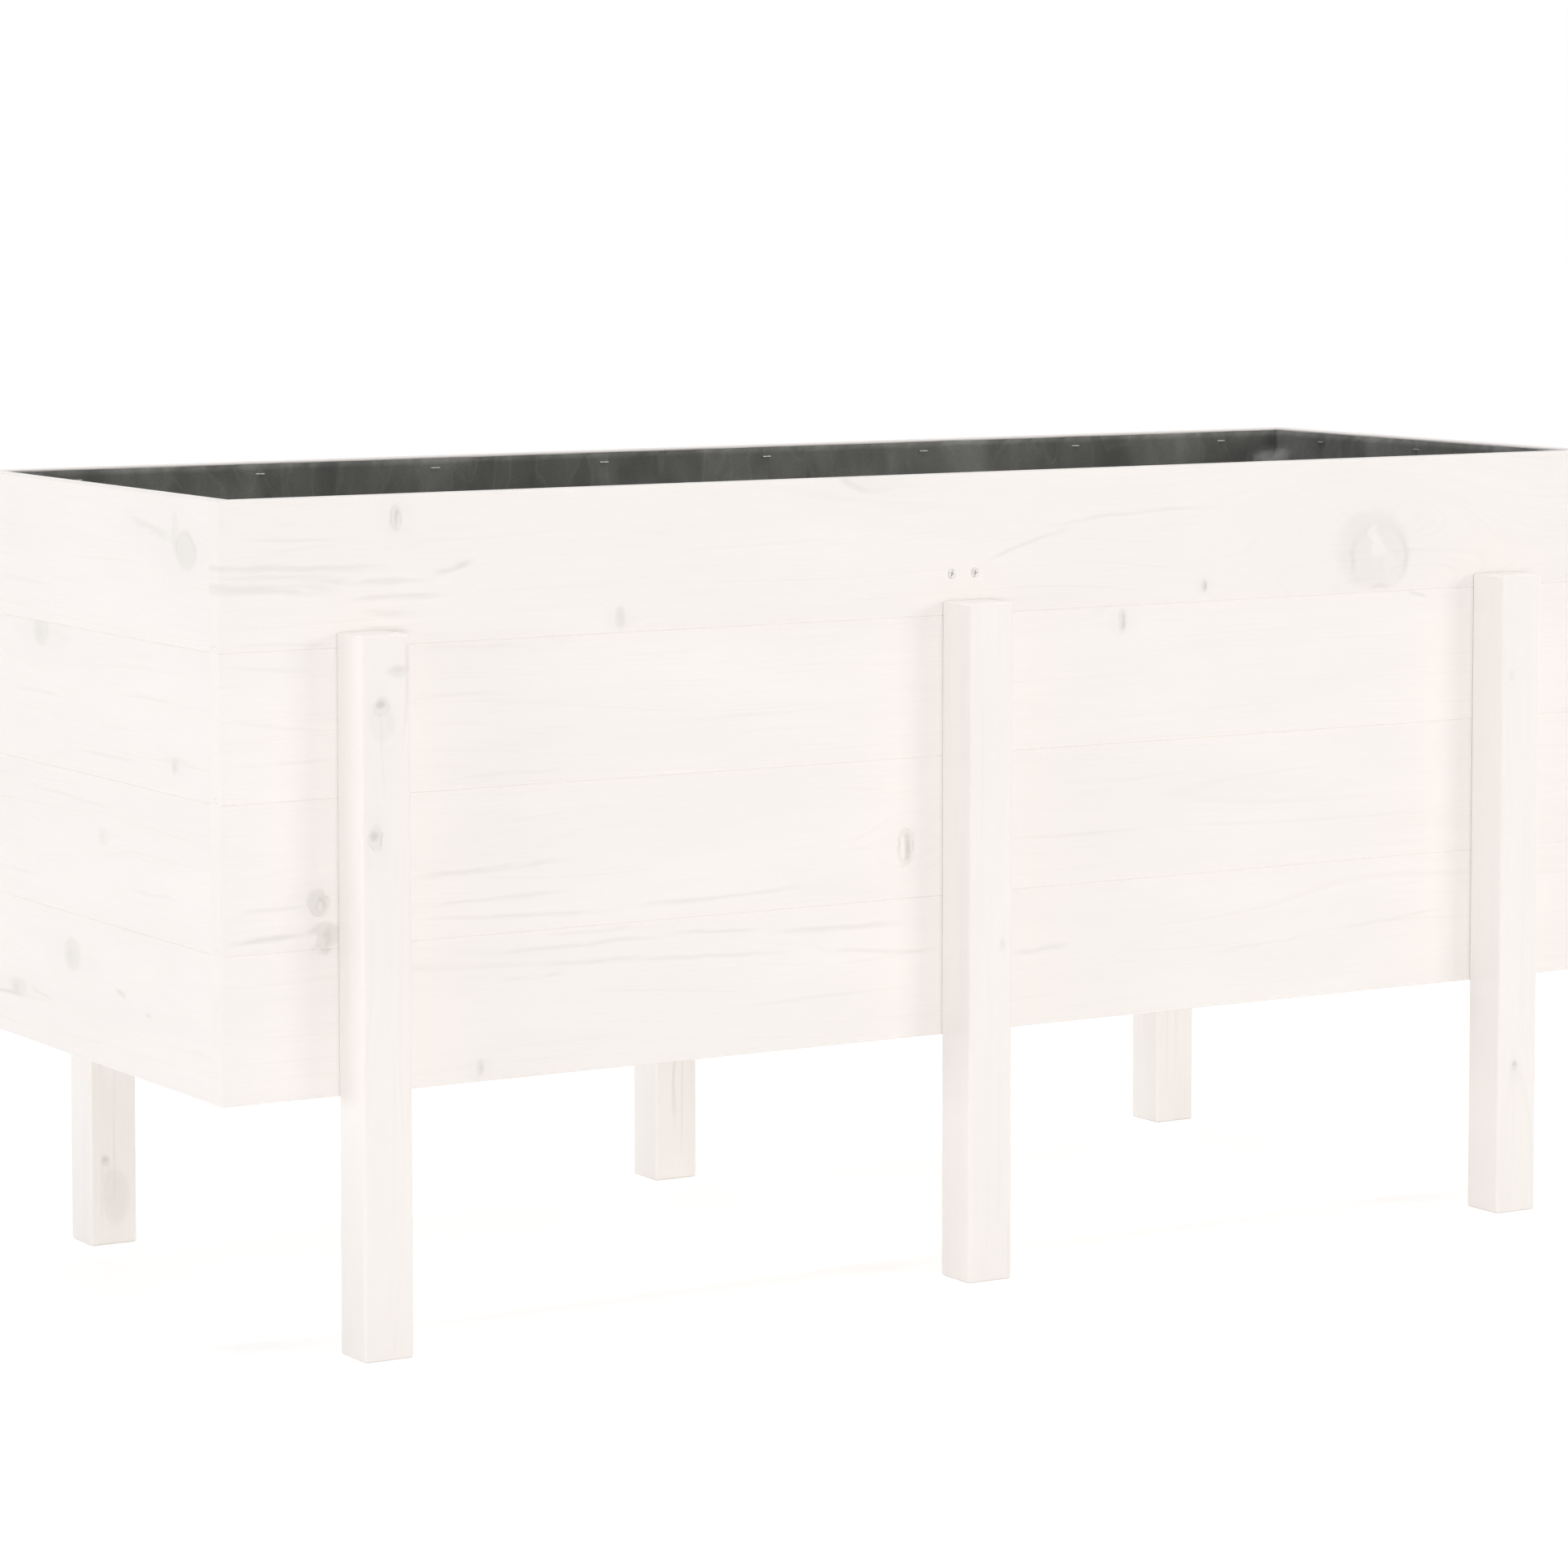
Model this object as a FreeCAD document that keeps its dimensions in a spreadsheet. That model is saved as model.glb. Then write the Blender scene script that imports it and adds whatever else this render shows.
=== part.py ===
import FreeCAD, Part
import os
import re
import Sketcher
from collections import namedtuple
from FreeCAD import Placement, Rotation, Vector

# Raised garden bed of white-stained pine, in millimetres.
# A long open box of four tongued-and-grooved board courses stands on six square legs
# that are screwed to the outside of its long walls. Battens tie the corners inside,
# two rails carry a slatted floor, a brace ties the long walls at mid-length, and a
# stapled fabric liner covers the walls and the floor inside.
# The origin is on the ground under the middle of the bed, X runs along the bed,
# Y from the front wall to the back wall, and Z up.

SIZES = [
    ("box_length", "1595", "outside, along X"),
    ("box_width", "557", "outside of the two long walls, along Y"),
    ("ground_clearance", "238", "from the ground to the lower edge of the walls"),
    ("board_thickness", "20", "wall boards"),
    ("board_cover", "137", "height of one course, joint to joint"),
    ("board_ease", "0.6", "bevel on the outer edges at each joint"),
    ("tongue_height", "6", "a tongue stands this much above its shoulders"),
    ("tongue_thickness", "6", "a tongue is centred in the board's thickness"),
    ("tongue_clearance", "0.2", "round a tongue in its groove"),
    ("rim_round", "1.5", "radius on the upper edges of the top course"),
    ("leg_width", "50", "along X"),
    ("leg_depth", "50", "along Y"),
    ("leg_rise", "14", "a leg's top above the joint under the top course"),
    ("leg_inset", "117", "from the end of the box to the outer legs"),
    ("leg_round", "3", "radius on a leg's long edges"),
    ("leg_end_ease", "1.5", "bevel round both ends of a leg"),
    ("leg_screw_offset", "12", "sideways from the leg's middle"),
    ("leg_screw_stagger", "30", "up and down from the middle of a course"),
    ("batten_size", "35", "square battens, and the depth of the rails"),
    ("batten_rise", "10", "battens and rails above the lower edge of the walls"),
    ("batten_drop", "40", "battens below the rim"),
    ("low_screw_drop", "20", "below the middle of a course"),
    ("high_screw_rise", "5", "above the middle of a course"),
    ("frame_ease", "1.5", "bevel on the long edges of battens and rails"),
    ("rail_height", "35", "floor rails, along Z"),
    ("rail_end_gap", "0.5", "between a rail and a batten"),
    ("slat_thickness", "18", "floor slats"),
    ("slat_spacing", "17", "between two slats, for drainage"),
    ("slat_gap", "1", "from a slat to the walls and battens round it"),
    ("slat_ease", "1.2", "bevel on a slat's upper long edges"),
    ("liner_thickness", "1.5", "non-woven fabric"),
    ("liner_gap", "0.3", "between the fabric and what is round it"),
    ("liner_drop", "2", "the fabric's upper edge below the rim"),
    ("brace_size", "50", "square brace between the long walls"),
    ("brace_rise", "26", "middle of the brace above the tops of the legs"),
    ("brace_round", "3", "radius on the brace's long edges"),
    ("brace_screw_spacing", "27", "between the two screws at each end"),
    ("brace_screw_sink", "0.4", "screw heads below the board's face"),
    ("brace_screw_length", "70", "over the head"),
    ("brace_screw_shank", "5", "diameter"),
    ("brace_screw_head", "8.5", "diameter"),
    ("frame_screw_shank", "4", "diameter"),
    ("frame_screw_head", "8", "diameter"),
    ("board_bite_share", "0.75", "of a board's thickness, held by a batten or rail screw"),
    ("slat_screw_length", "35", "over the head"),
    ("slat_screw_shank", "3.5", "diameter"),
    ("slat_screw_head", "7", "diameter"),
    ("head_rim", "0.3", "height of a screw head's straight edge"),
    ("recess_depth", "1.6", "cross recess in a screw head"),
    ("recess_slot", "1", "width of one slot of the cross"),
    ("recess_margin", "1.8", "from the cross to the edge of the head"),
    ("screw_clearance", "0.1", "round a screw or staple in its hole"),
    ("pilot_extra", "2", "a blind hole's depth past the end of its screw"),
    ("staple_crown", "10", "width over the two legs"),
    ("staple_leg", "10", "length over the crown"),
    ("staple_wire", "1", "square wire"),
    ("staple_drop", "12", "staples below the rim"),
    ("overrun", "5", "cutters past what they cut"),
]

doc = FreeCAD.newDocument("GardenBed")
sheet = doc.addObject("Spreadsheet::Sheet", "Sizes")
for row, (alias, number, meaning) in enumerate(SIZES, start=1):
    sheet.set(f"A{row}", alias)
    sheet.set(f"B{row}", number)
    sheet.set(f"C{row}", meaning)
    sheet.setAlias(f"B{row}", alias)
doc.recompute()

ALIASES = {alias for alias, number, meaning in SIZES}


def size(alias):
    """The number in the sheet's cell of that name."""
    return float(sheet.get(alias))


def bound(formula):
    """A formula in the names of the sizes, as an expression on the sheet."""
    def on_sheet(word):
        return "Sizes." + word.group() if word.group() in ALIASES else word.group()

    return re.sub("[a-z_]+", on_sheet, formula)


def spread(count):
    """Steps of places that lie evenly on both sides of a middle."""
    return [i - (count - 1) / 2 for i in range(count)]


# Counts
COURSES = 4
LEG_COURSES = 3
SLATS = 14
LONG_STAPLES = 8
END_STAPLES = 3

# Places and lengths that several pieces share, as formulas in the sizes
RIM = f"(ground_clearance + {COURSES} * board_cover)"
INNER_LENGTH = "(box_length - 2 * board_thickness)"
INNER_WIDTH = "(box_width - 2 * board_thickness)"
HALF_INNER_LENGTH = f"({INNER_LENGTH} / 2)"
HALF_INNER_WIDTH = f"({INNER_WIDTH} / 2)"
COURSE_MIDDLE = "(board_cover / 2)"
LEG_LENGTH = f"(ground_clearance + {LEG_COURSES} * board_cover + leg_rise)"
LEG_MIDDLES = {
    "left": "(leg_inset + leg_width / 2)",
    "middle": "(box_length / 2)",
    "right": "(box_length - leg_inset - leg_width / 2)",
}
LEG_SCREW_STEPS = [
    ("- leg_screw_offset", "- leg_screw_stagger"),
    ("+ leg_screw_offset", "+ leg_screw_stagger"),
]
RAIL_BASE = "(ground_clearance + batten_rise)"
FLOOR_BASE = f"({RAIL_BASE} + rail_height)"
FLOOR_TOP = f"({FLOOR_BASE} + slat_thickness)"
RAIL_LENGTH = f"({INNER_LENGTH} - 2 * batten_size - 2 * rail_end_gap)"
SLAT_LENGTH = f"({INNER_WIDTH} - 2 * slat_gap)"
SLAT_PITCH = f"(({INNER_LENGTH} - 2 * slat_gap + slat_spacing) / {SLATS})"
SLAT_WIDTH = f"({SLAT_PITCH} - slat_spacing)"
RAIL_SCREW_STEPS = spread(SLATS - 1)[1::2]
LINER_STACK = "(liner_gap + liner_thickness + liner_gap)"
BRACE_LENGTH = f"({INNER_WIDTH} - 2 * {LINER_STACK})"
BRACE_MIDDLE = f"({LEG_LENGTH} + brace_rise)"
BRACE_SCREW_STEPS = ["- brace_screw_spacing / 2", "+ brace_screw_spacing / 2"]

# Holes, which follow the screws and staples that they take
FRAME_SCREW_LENGTH = "(batten_size + board_bite_share * board_thickness)"
BOARD_PILOT = "board_bite_share * board_thickness + pilot_extra"
STAPLE_HOLE = "sqrt(2) * staple_wire + 2 * screw_clearance"


def shank_hole(kind):
    return f"{kind}_screw_shank + 2 * screw_clearance"


def head_seat(kind, sink="0"):
    return f"{kind}_screw_head + 2 * screw_clearance + 2 * head_rim + 2 * {sink}"


# Bodies, sketches and features
UP = Vector(0, 0, 1)
ALONG = Vector(1, 0, 0)
ACROSS = Vector(0, 1, 0)
TOUCH = 1e-6
PLANES = {
    "outer": ("XZ_Plane", "", False),
    "inner": ("XZ_Plane", "-", True),
    "side": ("YZ_Plane", "", False),
    "top": ("XY_Plane", "", False),
}
Seat = namedtuple("Seat", "point drive bore")
subparts = []
cuts = []


def new_body(label, place, turn=0):
    """A body whose origin is at three formulas, turned about Z by a number of degrees."""
    body = doc.addObject("PartDesign::Body", label)
    body.Label = label
    body.Placement = Placement(Vector(), Rotation(UP, turn))
    for axis, formula in zip("xyz", place):
        body.setExpression(f"Placement.Base.{axis}", bound(formula))
    return body


def new_sketch(body, name, role, offset="0"):
    """A sketch on one of the body's own origin planes, moved along the plane's normal."""
    sketch = body.newObject("Sketcher::SketchObject", name)
    plane = next(p for p in body.Origin.OriginFeatures if p.Role == role)
    sketch.AttachmentSupport = [(plane, "")]
    sketch.MapMode = "FlatFace"
    sketch.setExpression("AttachmentOffset.Base.z", bound(offset))
    return sketch


def fix_point(sketch, shape, vertex, point):
    """Ties a point of the sketch to two formulas."""
    for kind, formula in zip(("DistanceX", "DistanceY"), point):
        tie = sketch.addConstraint(Sketcher.Constraint(kind, shape, vertex, 0))
        sketch.setExpression(f"Constraints[{tie}]", bound(formula))


def draw_outline(sketch, corners):
    """A closed outline of straight lines through corners given as formulas."""
    count = len(corners)
    starts = [Vector(i, i * i % count, 0) for i in range(count)]
    for i in range(count):
        sketch.addGeometry(Part.LineSegment(starts[i], starts[(i + 1) % count]))
    for i in range(count):
        sketch.addConstraint(Sketcher.Constraint("Coincident", i, 2, (i + 1) % count, 1))
    for i, corner in enumerate(corners):
        fix_point(sketch, i, 1, corner)


def draw_rectangle(sketch, width, height):
    """A rectangle from the sketch's origin."""
    draw_outline(sketch, [("0", "0"), (width, "0"), (width, height), ("0", height)])


def pad(body, sketch, length):
    """The sketch's outline raised by a formula's length."""
    feature = body.newObject("PartDesign::Pad", "Raised")
    feature.Profile = sketch
    feature.setExpression("Length", bound(length))
    doc.recompute()
    return feature


def soften(body, kind, radius, wanted):
    """Rounds or bevels the edges of the body that the test picks."""
    base = body.Tip
    names = [f"Edge{i}" for i, edge in enumerate(base.Shape.Edges, start=1) if wanted(edge)]
    feature = body.newObject(f"PartDesign::{kind}", kind)
    feature.Base = (base, names)
    feature.setExpression("Radius" if kind == "Fillet" else "Size", bound(radius))
    doc.recompute()
    cuts.append((feature, base))


def runs_along(edge, axis):
    """Whether an edge is straight and parallel to a unit axis."""
    ends = edge.Vertexes[-1].Point - edge.Vertexes[0].Point
    return ends.Length > TOUCH and abs(ends.cross(axis).Length) < TOUCH


def drill(body, name, face, offset, centres, bore, depth=None, countersink=None):
    """Round holes from one face of a body, blind at a depth or right through."""
    role, sign, reverse = PLANES[face]
    base = body.Tip
    sketch = new_sketch(body, name + "_places", role, sign + offset)
    for i, centre in enumerate(centres):
        sketch.addGeometry(Part.Circle(Vector(i, 0, 0), UP, 1))
        fix_point(sketch, i, 3, centre)
        tie = sketch.addConstraint(Sketcher.Constraint("Diameter", i, 1))
        sketch.setExpression(f"Constraints[{tie}]", bound(bore))
    doc.recompute()
    hole = body.newObject("PartDesign::Hole", name)
    hole.Profile = sketch
    doc.recompute()
    hole.Reversed = reverse
    hole.DrillPoint = "Flat"
    hole.setExpression("Diameter", bound(bore))
    hole.DepthType = "Dimension" if depth else "ThroughAll"
    if depth:
        hole.setExpression("Depth", bound(depth))
    if countersink:
        hole.HoleCutType = "Countersink"
        hole.HoleCutCustomValues = True
        hole.HoleCutCountersinkAngle = 90
        hole.setExpression("HoleCutDiameter", bound(countersink))
    doc.recompute()
    cuts.append((hole, base))
    place = body.Placement.multiply(sketch.Placement)
    drive = place.Rotation.multVec(UP if reverse else -UP)
    return [Seat(place.multVec(c.Center), drive, c.Radius) for c in sketch.Geometry]


# Screws: a countersunk head with a cross recess, a plain shank and a point, driven along Z
def make_screw(kind, length):
    head, shank = f"{kind}_screw_head", f"{kind}_screw_shank"
    screw = new_body(f"{kind}_screw", ("0", "0", "0"))
    profile = new_sketch(screw, "Half_profile", "XZ_Plane")
    draw_outline(profile, [
        ("0", "0"),
        (f"{head} / 2", "0"),
        (f"{head} / 2", "head_rim"),
        (f"{shank} / 2", f"head_rim + ({head} - {shank}) / 2"),
        (f"{shank} / 2", f"{length} - {shank}"),
        ("0", length),
    ])
    turned = screw.newObject("PartDesign::Revolution", "Turned")
    turned.Profile = profile
    turned.ReferenceAxis = (profile, ["V_Axis"])
    doc.recompute()
    cross = new_sketch(screw, "Cross", "XY_Plane")
    far, near = f"({head} / 2 - recess_margin)", "(recess_slot / 2)"
    quarter = [(far, near), (near, near), (near, far)]
    corners = quarter + [(f"-{x}", y) for x, y in reversed(quarter)]
    corners += [(f"-{x}", f"-{y}") for x, y in quarter] + [(x, f"-{y}") for x, y in reversed(quarter)]
    draw_outline(cross, corners)
    recess = screw.newObject("PartDesign::Pocket", "Recess")
    recess.Profile = cross
    recess.setExpression("Length", bound("recess_depth"))
    recess.Reversed = True
    doc.recompute()
    cuts.append((recess, turned))
    return screw


frame_screw = make_screw("frame", FRAME_SCREW_LENGTH)
slat_screw = make_screw("slat", "slat_screw_length")
brace_screw = make_screw("brace", "brace_screw_length")
leg_screw_seats = []
batten_screw_seats = []
rail_screw_seats = []
slat_screw_seats = []
brace_screw_seats = []

# Staple: a square wire bent to a crown and two legs, driven along Z
staple = new_body("staple", ("0", "0", "0"))
staple_outline = new_sketch(staple, "Outline", "XZ_Plane", "-staple_wire / 2")
half_crown, half_room = "(staple_crown / 2)", "(staple_crown / 2 - staple_wire)"
staple_side = [(half_crown, "0"), (half_crown, "staple_leg")]
staple_side += [(half_room, "staple_leg"), (half_room, "staple_wire")]
draw_outline(staple_outline, staple_side + [(f"-{x}", y) for x, y in reversed(staple_side)])
pad(staple, staple_outline, "staple_wire")
staple_seats = []


# Wall boards: the outer face is at y = 0 and the inner face at y = board_thickness
def board_section(course):
    """A board's section, with a groove below unless lowest and a tongue above unless highest."""
    middle = "board_thickness / 2"
    corners = [("board_ease", "0")]
    if course > 0:
        cheek = "(tongue_thickness / 2 + tongue_clearance)"
        roof = "tongue_height + tongue_clearance"
        corners += [(f"{middle} - {cheek}", "0"), (f"{middle} - {cheek}", roof)]
        corners += [(f"{middle} + {cheek}", roof), (f"{middle} + {cheek}", "0")]
    corners += [("board_thickness", "0"), ("board_thickness", "board_cover")]
    if course < COURSES - 1:
        cheek, tip = "tongue_thickness / 2", "board_cover + tongue_height"
        corners += [(f"{middle} + {cheek}", "board_cover"), (f"{middle} + {cheek}", tip)]
        corners += [(f"{middle} - {cheek}", tip), (f"{middle} - {cheek}", "board_cover")]
        corners += [("board_ease", "board_cover"), ("0", "board_cover - board_ease")]
    else:
        corners += [("0", "board_cover")]
    return corners + [("0", "board_ease")]


def make_board(wall, course, length, post_start, place, turn):
    """One board of a wall, with the blind holes for the screws of the corner battens."""
    height = f"ground_clearance + {course} * board_cover"
    board = new_body(f"{wall}_board_{course + 1}", (*place, height), turn)
    section = new_sketch(board, "Section", "YZ_Plane")
    draw_outline(section, board_section(course))
    pad(board, section, length)
    if course == COURSES - 1:
        rim = size("board_cover")
        soften(board, "Fillet", "rim_round",
               lambda edge: runs_along(edge, ALONG) and abs(edge.Vertexes[0].Z - rim) < TOUCH)
    post = f"({post_start} + batten_size / 2)"
    centres = [(post, f"{COURSE_MIDDLE} - low_screw_drop")]
    centres += [(f"{length} - {post}", f"{COURSE_MIDDLE} + high_screw_rise")]
    drill(board, "Batten_holes", "inner", "board_thickness", centres, shank_hole("frame"), BOARD_PILOT)
    subparts.append(board)
    return board


def drill_for_staples(board, length, count):
    """Pairs of small holes along the rim of a top board."""
    centres = []
    for step in spread(count):
        for side in ("-", "+"):
            across = f"{length} / 2 + {step} * {length} / {count} {side} (staple_crown - staple_wire) / 2"
            centres.append((across, "board_cover - staple_drop"))
    depth = f"staple_leg - staple_wire - {LINER_STACK} + pilot_extra"
    staple_seats.extend(drill(board, "Staple_holes", "inner", "board_thickness", centres, STAPLE_HOLE, depth))


def drill_long_board(board, course):
    """The holes in a board of a long wall for the legs, the floor rail, the brace and the liner."""
    if course < LEG_COURSES:
        centres = [(f"{middle} {across}", f"{COURSE_MIDDLE} {up}")
                   for middle in LEG_MIDDLES.values() for across, up in LEG_SCREW_STEPS]
        leg_screw_seats.extend(drill(board, "Leg_holes", "inner", "board_thickness", centres,
                                     shank_hole("frame"), countersink=head_seat("frame")))
    if course == 0:
        centres = [(f"box_length / 2 + {step} * {SLAT_PITCH}", "batten_rise + rail_height / 2")
                   for step in RAIL_SCREW_STEPS]
        drill(board, "Rail_holes", "inner", "board_thickness", centres, shank_hole("frame"), BOARD_PILOT)
    if course == COURSES - 1:
        height = f"{BRACE_MIDDLE} - ground_clearance - {course} * board_cover"
        centres = [(f"box_length / 2 {across}", height) for across in BRACE_SCREW_STEPS]
        brace_screw_seats.extend(drill(board, "Brace_holes", "outer", "0", centres, shank_hole("brace"),
                                       countersink=head_seat("brace", "brace_screw_sink")))
        drill_for_staples(board, "box_length", LONG_STAPLES)


LONG_WALLS = {
    "front": (("-box_length / 2", "-box_width / 2"), 0),
    "back": (("box_length / 2", "box_width / 2"), 180),
}
END_WALLS = {
    "left": (("-box_length / 2", HALF_INNER_WIDTH), -90),
    "right": (("box_length / 2", f"-{HALF_INNER_WIDTH}"), 90),
}
for wall, (place, turn) in LONG_WALLS.items():
    for course in range(COURSES):
        board = make_board(wall, course, "box_length", "board_thickness", place, turn)
        drill_long_board(board, course)
for wall, (place, turn) in END_WALLS.items():
    for course in range(COURSES):
        board = make_board(wall, course, INNER_WIDTH, "0", place, turn)
    drill_for_staples(board, INNER_WIDTH, END_STAPLES)


# Legs: the face at y = leg_depth lies on the wall
def make_leg(label, place, turn):
    leg = new_body(label, (*place, "0"), turn)
    section = new_sketch(leg, "Section", "XY_Plane")
    draw_rectangle(section, "leg_width", "leg_depth")
    pad(leg, section, LEG_LENGTH)
    soften(leg, "Fillet", "leg_round", lambda edge: runs_along(edge, UP))
    soften(leg, "Chamfer", "leg_end_ease", lambda edge: not runs_along(edge, UP))
    centres = []
    for course in range(LEG_COURSES):
        height = f"ground_clearance + {course} * board_cover + {COURSE_MIDDLE}"
        centres += [(f"leg_width / 2 {across}", f"{height} {up}") for across, up in LEG_SCREW_STEPS]
    depth = f"{FRAME_SCREW_LENGTH} - board_thickness + pilot_extra"
    drill(leg, "Screw_holes", "inner", "leg_depth", centres, shank_hole("frame"), depth)
    subparts.append(leg)


for name, middle in LEG_MIDDLES.items():
    left_side = f"{middle} - box_length / 2 - leg_width / 2"
    make_leg(f"leg_front_{name}", (left_side, "-box_width / 2 - leg_depth"), 0)
    make_leg(f"leg_back_{name}", (f"{left_side} + leg_width", "box_width / 2 + leg_depth"), 180)


# Corner battens: the faces at x = 0 and y = 0 lie on the two walls
def make_batten(label, place, turn):
    batten = new_body(label, (*place, RAIL_BASE), turn)
    section = new_sketch(batten, "Section", "XY_Plane")
    draw_rectangle(section, "batten_size", "batten_size")
    pad(batten, section, f"{COURSES} * board_cover - batten_rise - batten_drop")
    soften(batten, "Chamfer", "frame_ease", lambda edge: runs_along(edge, UP))
    for face, shift in (("inner", "- low_screw_drop"), ("side", "+ high_screw_rise")):
        centres = [("batten_size / 2", f"{course} * board_cover + {COURSE_MIDDLE} - batten_rise {shift}")
                   for course in range(COURSES)]
        batten_screw_seats.extend(drill(batten, f"Holes_{face}", face, "batten_size", centres,
                                        shank_hole("frame"), countersink=head_seat("frame")))
    subparts.append(batten)


make_batten("corner_batten_front_left", (f"-{HALF_INNER_LENGTH}", f"-{HALF_INNER_WIDTH}"), 0)
make_batten("corner_batten_front_right", (HALF_INNER_LENGTH, f"-{HALF_INNER_WIDTH}"), 90)
make_batten("corner_batten_back_right", (HALF_INNER_LENGTH, HALF_INNER_WIDTH), 180)
make_batten("corner_batten_back_left", (f"-{HALF_INNER_LENGTH}", HALF_INNER_WIDTH), 270)


# Floor rails: they lie between the battens against the lowest boards, and carry the slats
def make_rail(label, place, turn):
    rail = new_body(label, (*place, RAIL_BASE), turn)
    section = new_sketch(rail, "Section", "YZ_Plane")
    draw_rectangle(section, "batten_size", "rail_height")
    pad(rail, section, RAIL_LENGTH)
    soften(rail, "Chamfer", "frame_ease", lambda edge: runs_along(edge, ALONG))
    centres = [(f"{RAIL_LENGTH} / 2 + {step} * {SLAT_PITCH}", "rail_height / 2") for step in RAIL_SCREW_STEPS]
    rail_screw_seats.extend(drill(rail, "Wall_holes", "inner", "batten_size", centres,
                                  shank_hole("frame"), countersink=head_seat("frame")))
    centres = [(f"{RAIL_LENGTH} / 2 + {step} * {SLAT_PITCH}", "batten_size / 2") for step in spread(SLATS)]
    depth = "slat_screw_length - slat_thickness + pilot_extra"
    drill(rail, "Slat_holes", "top", "rail_height", centres, shank_hole("slat"), depth)
    subparts.append(rail)


make_rail("floor_rail_front", (f"-{RAIL_LENGTH} / 2", f"-{HALF_INNER_WIDTH}"), 0)
make_rail("floor_rail_back", (f"{RAIL_LENGTH} / 2", HALF_INNER_WIDTH), 180)


# Floor slats: laid across the rails, the two end ones notched round the corner battens
def make_slat(label, place, turn, notched):
    slat = new_body(label, (*place, FLOOR_BASE), turn)
    outline = new_sketch(slat, "Outline", "XY_Plane")
    if notched:
        far = f"{SLAT_LENGTH} - batten_size"
        corners = [("batten_size", "0"), (SLAT_WIDTH, "0"), (SLAT_WIDTH, SLAT_LENGTH)]
        corners += [("batten_size", SLAT_LENGTH), ("batten_size", far), ("0", far)]
        corners += [("0", "batten_size"), ("batten_size", "batten_size")]
        draw_outline(outline, corners)
    else:
        draw_rectangle(outline, SLAT_WIDTH, SLAT_LENGTH)
    room = pad(slat, outline, "slat_thickness").Shape.BoundBox
    soften(slat, "Chamfer", "slat_ease",
           lambda edge: runs_along(edge, ACROSS) and abs(edge.Vertexes[0].Z - room.ZMax) < TOUCH
           and min(edge.Vertexes[0].X - room.XMin, room.XMax - edge.Vertexes[0].X) < TOUCH)
    inset = "(batten_size / 2 - slat_gap)"
    centres = [(f"{SLAT_WIDTH} / 2", inset), (f"{SLAT_WIDTH} / 2", f"{SLAT_LENGTH} - {inset}")]
    slat_screw_seats.extend(drill(slat, "Screw_holes", "top", "slat_thickness", centres,
                                  shank_hole("slat"), countersink=head_seat("slat")))
    subparts.append(slat)


for number, step in enumerate(spread(SLATS), start=1):
    slat_middle = f"{step} * {SLAT_PITCH}"
    place, turn = (f"{slat_middle} - {SLAT_WIDTH} / 2", f"-{SLAT_LENGTH} / 2"), 0
    if number == SLATS:
        place, turn = (f"{slat_middle} + {SLAT_WIDTH} / 2", f"{SLAT_LENGTH} / 2"), 180
    make_slat(f"floor_slat_{number:02d}", place, turn, number in (1, SLATS))

# Brace: a square bar that bears on the lined long walls at mid-length
brace_corner = ("-brace_size / 2", f"-{BRACE_LENGTH} / 2", f"{BRACE_MIDDLE} - brace_size / 2")
brace = new_body("cross_brace", brace_corner)
brace_outline = new_sketch(brace, "Outline", "XY_Plane")
draw_rectangle(brace_outline, "brace_size", BRACE_LENGTH)
pad(brace, brace_outline, "brace_size")
soften(brace, "Fillet", "brace_round", lambda edge: runs_along(edge, ACROSS))
brace_centres = [(f"brace_size / 2 {across}", "brace_size / 2") for across in BRACE_SCREW_STEPS]
brace_pilot = f"brace_screw_length + brace_screw_sink - board_thickness - {LINER_STACK} + pilot_extra"
drill(brace, "Front_holes", "outer", "0", brace_centres, shank_hole("brace"), brace_pilot)
drill(brace, "Back_holes", "inner", BRACE_LENGTH, brace_centres, shank_hole("brace"), brace_pilot)
subparts.append(brace)


# Liner: an open fabric bag that follows the walls, the floor and the battens
def block(label, low, high):
    """A box between two corners given as formulas."""
    box = doc.addObject("Part::Box", label)
    for axis, side, start, end in zip("xyz", ("Length", "Width", "Height"), low, high):
        box.setExpression(side, bound(f"{end} - ({start})"))
        box.setExpression(f"Placement.Base.{axis}", bound(start))
    return box


def bag_form(label, inset, top):
    """The room between the walls, drawn in by an inset and less the room of the four battens."""
    x_side, y_side = f"({HALF_INNER_LENGTH} - {inset})", f"({HALF_INNER_WIDTH} - {inset})"
    low = (f"-{x_side}", f"-{y_side}", f"{FLOOR_TOP} + {inset}")
    room = block(f"{label}_room", low, (x_side, y_side, top))
    x_ends = f"({HALF_INNER_LENGTH} - batten_size - {inset})", f"({HALF_INNER_LENGTH} + overrun)"
    y_ends = f"({HALF_INNER_WIDTH} - batten_size - {inset})", f"({HALF_INNER_WIDTH} + overrun)"
    posts = []
    for x_low, x_high in (x_ends, (f"-{x_ends[1]}", f"-{x_ends[0]}")):
        for y_low, y_high in (y_ends, (f"-{y_ends[1]}", f"-{y_ends[0]}")):
            low = (x_low, y_low, f"{FLOOR_TOP} - overrun")
            high = (x_high, y_high, f"{RIM} - batten_drop + {inset}")
            posts.append(block(f"{label}_post_{len(posts) + 1}", low, high))
    corners = doc.addObject("Part::MultiFuse", f"{label}_posts")
    corners.Shapes = posts
    form = doc.addObject("Part::Cut", f"{label}_form")
    form.Base = room
    form.Tool = corners
    return form


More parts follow.
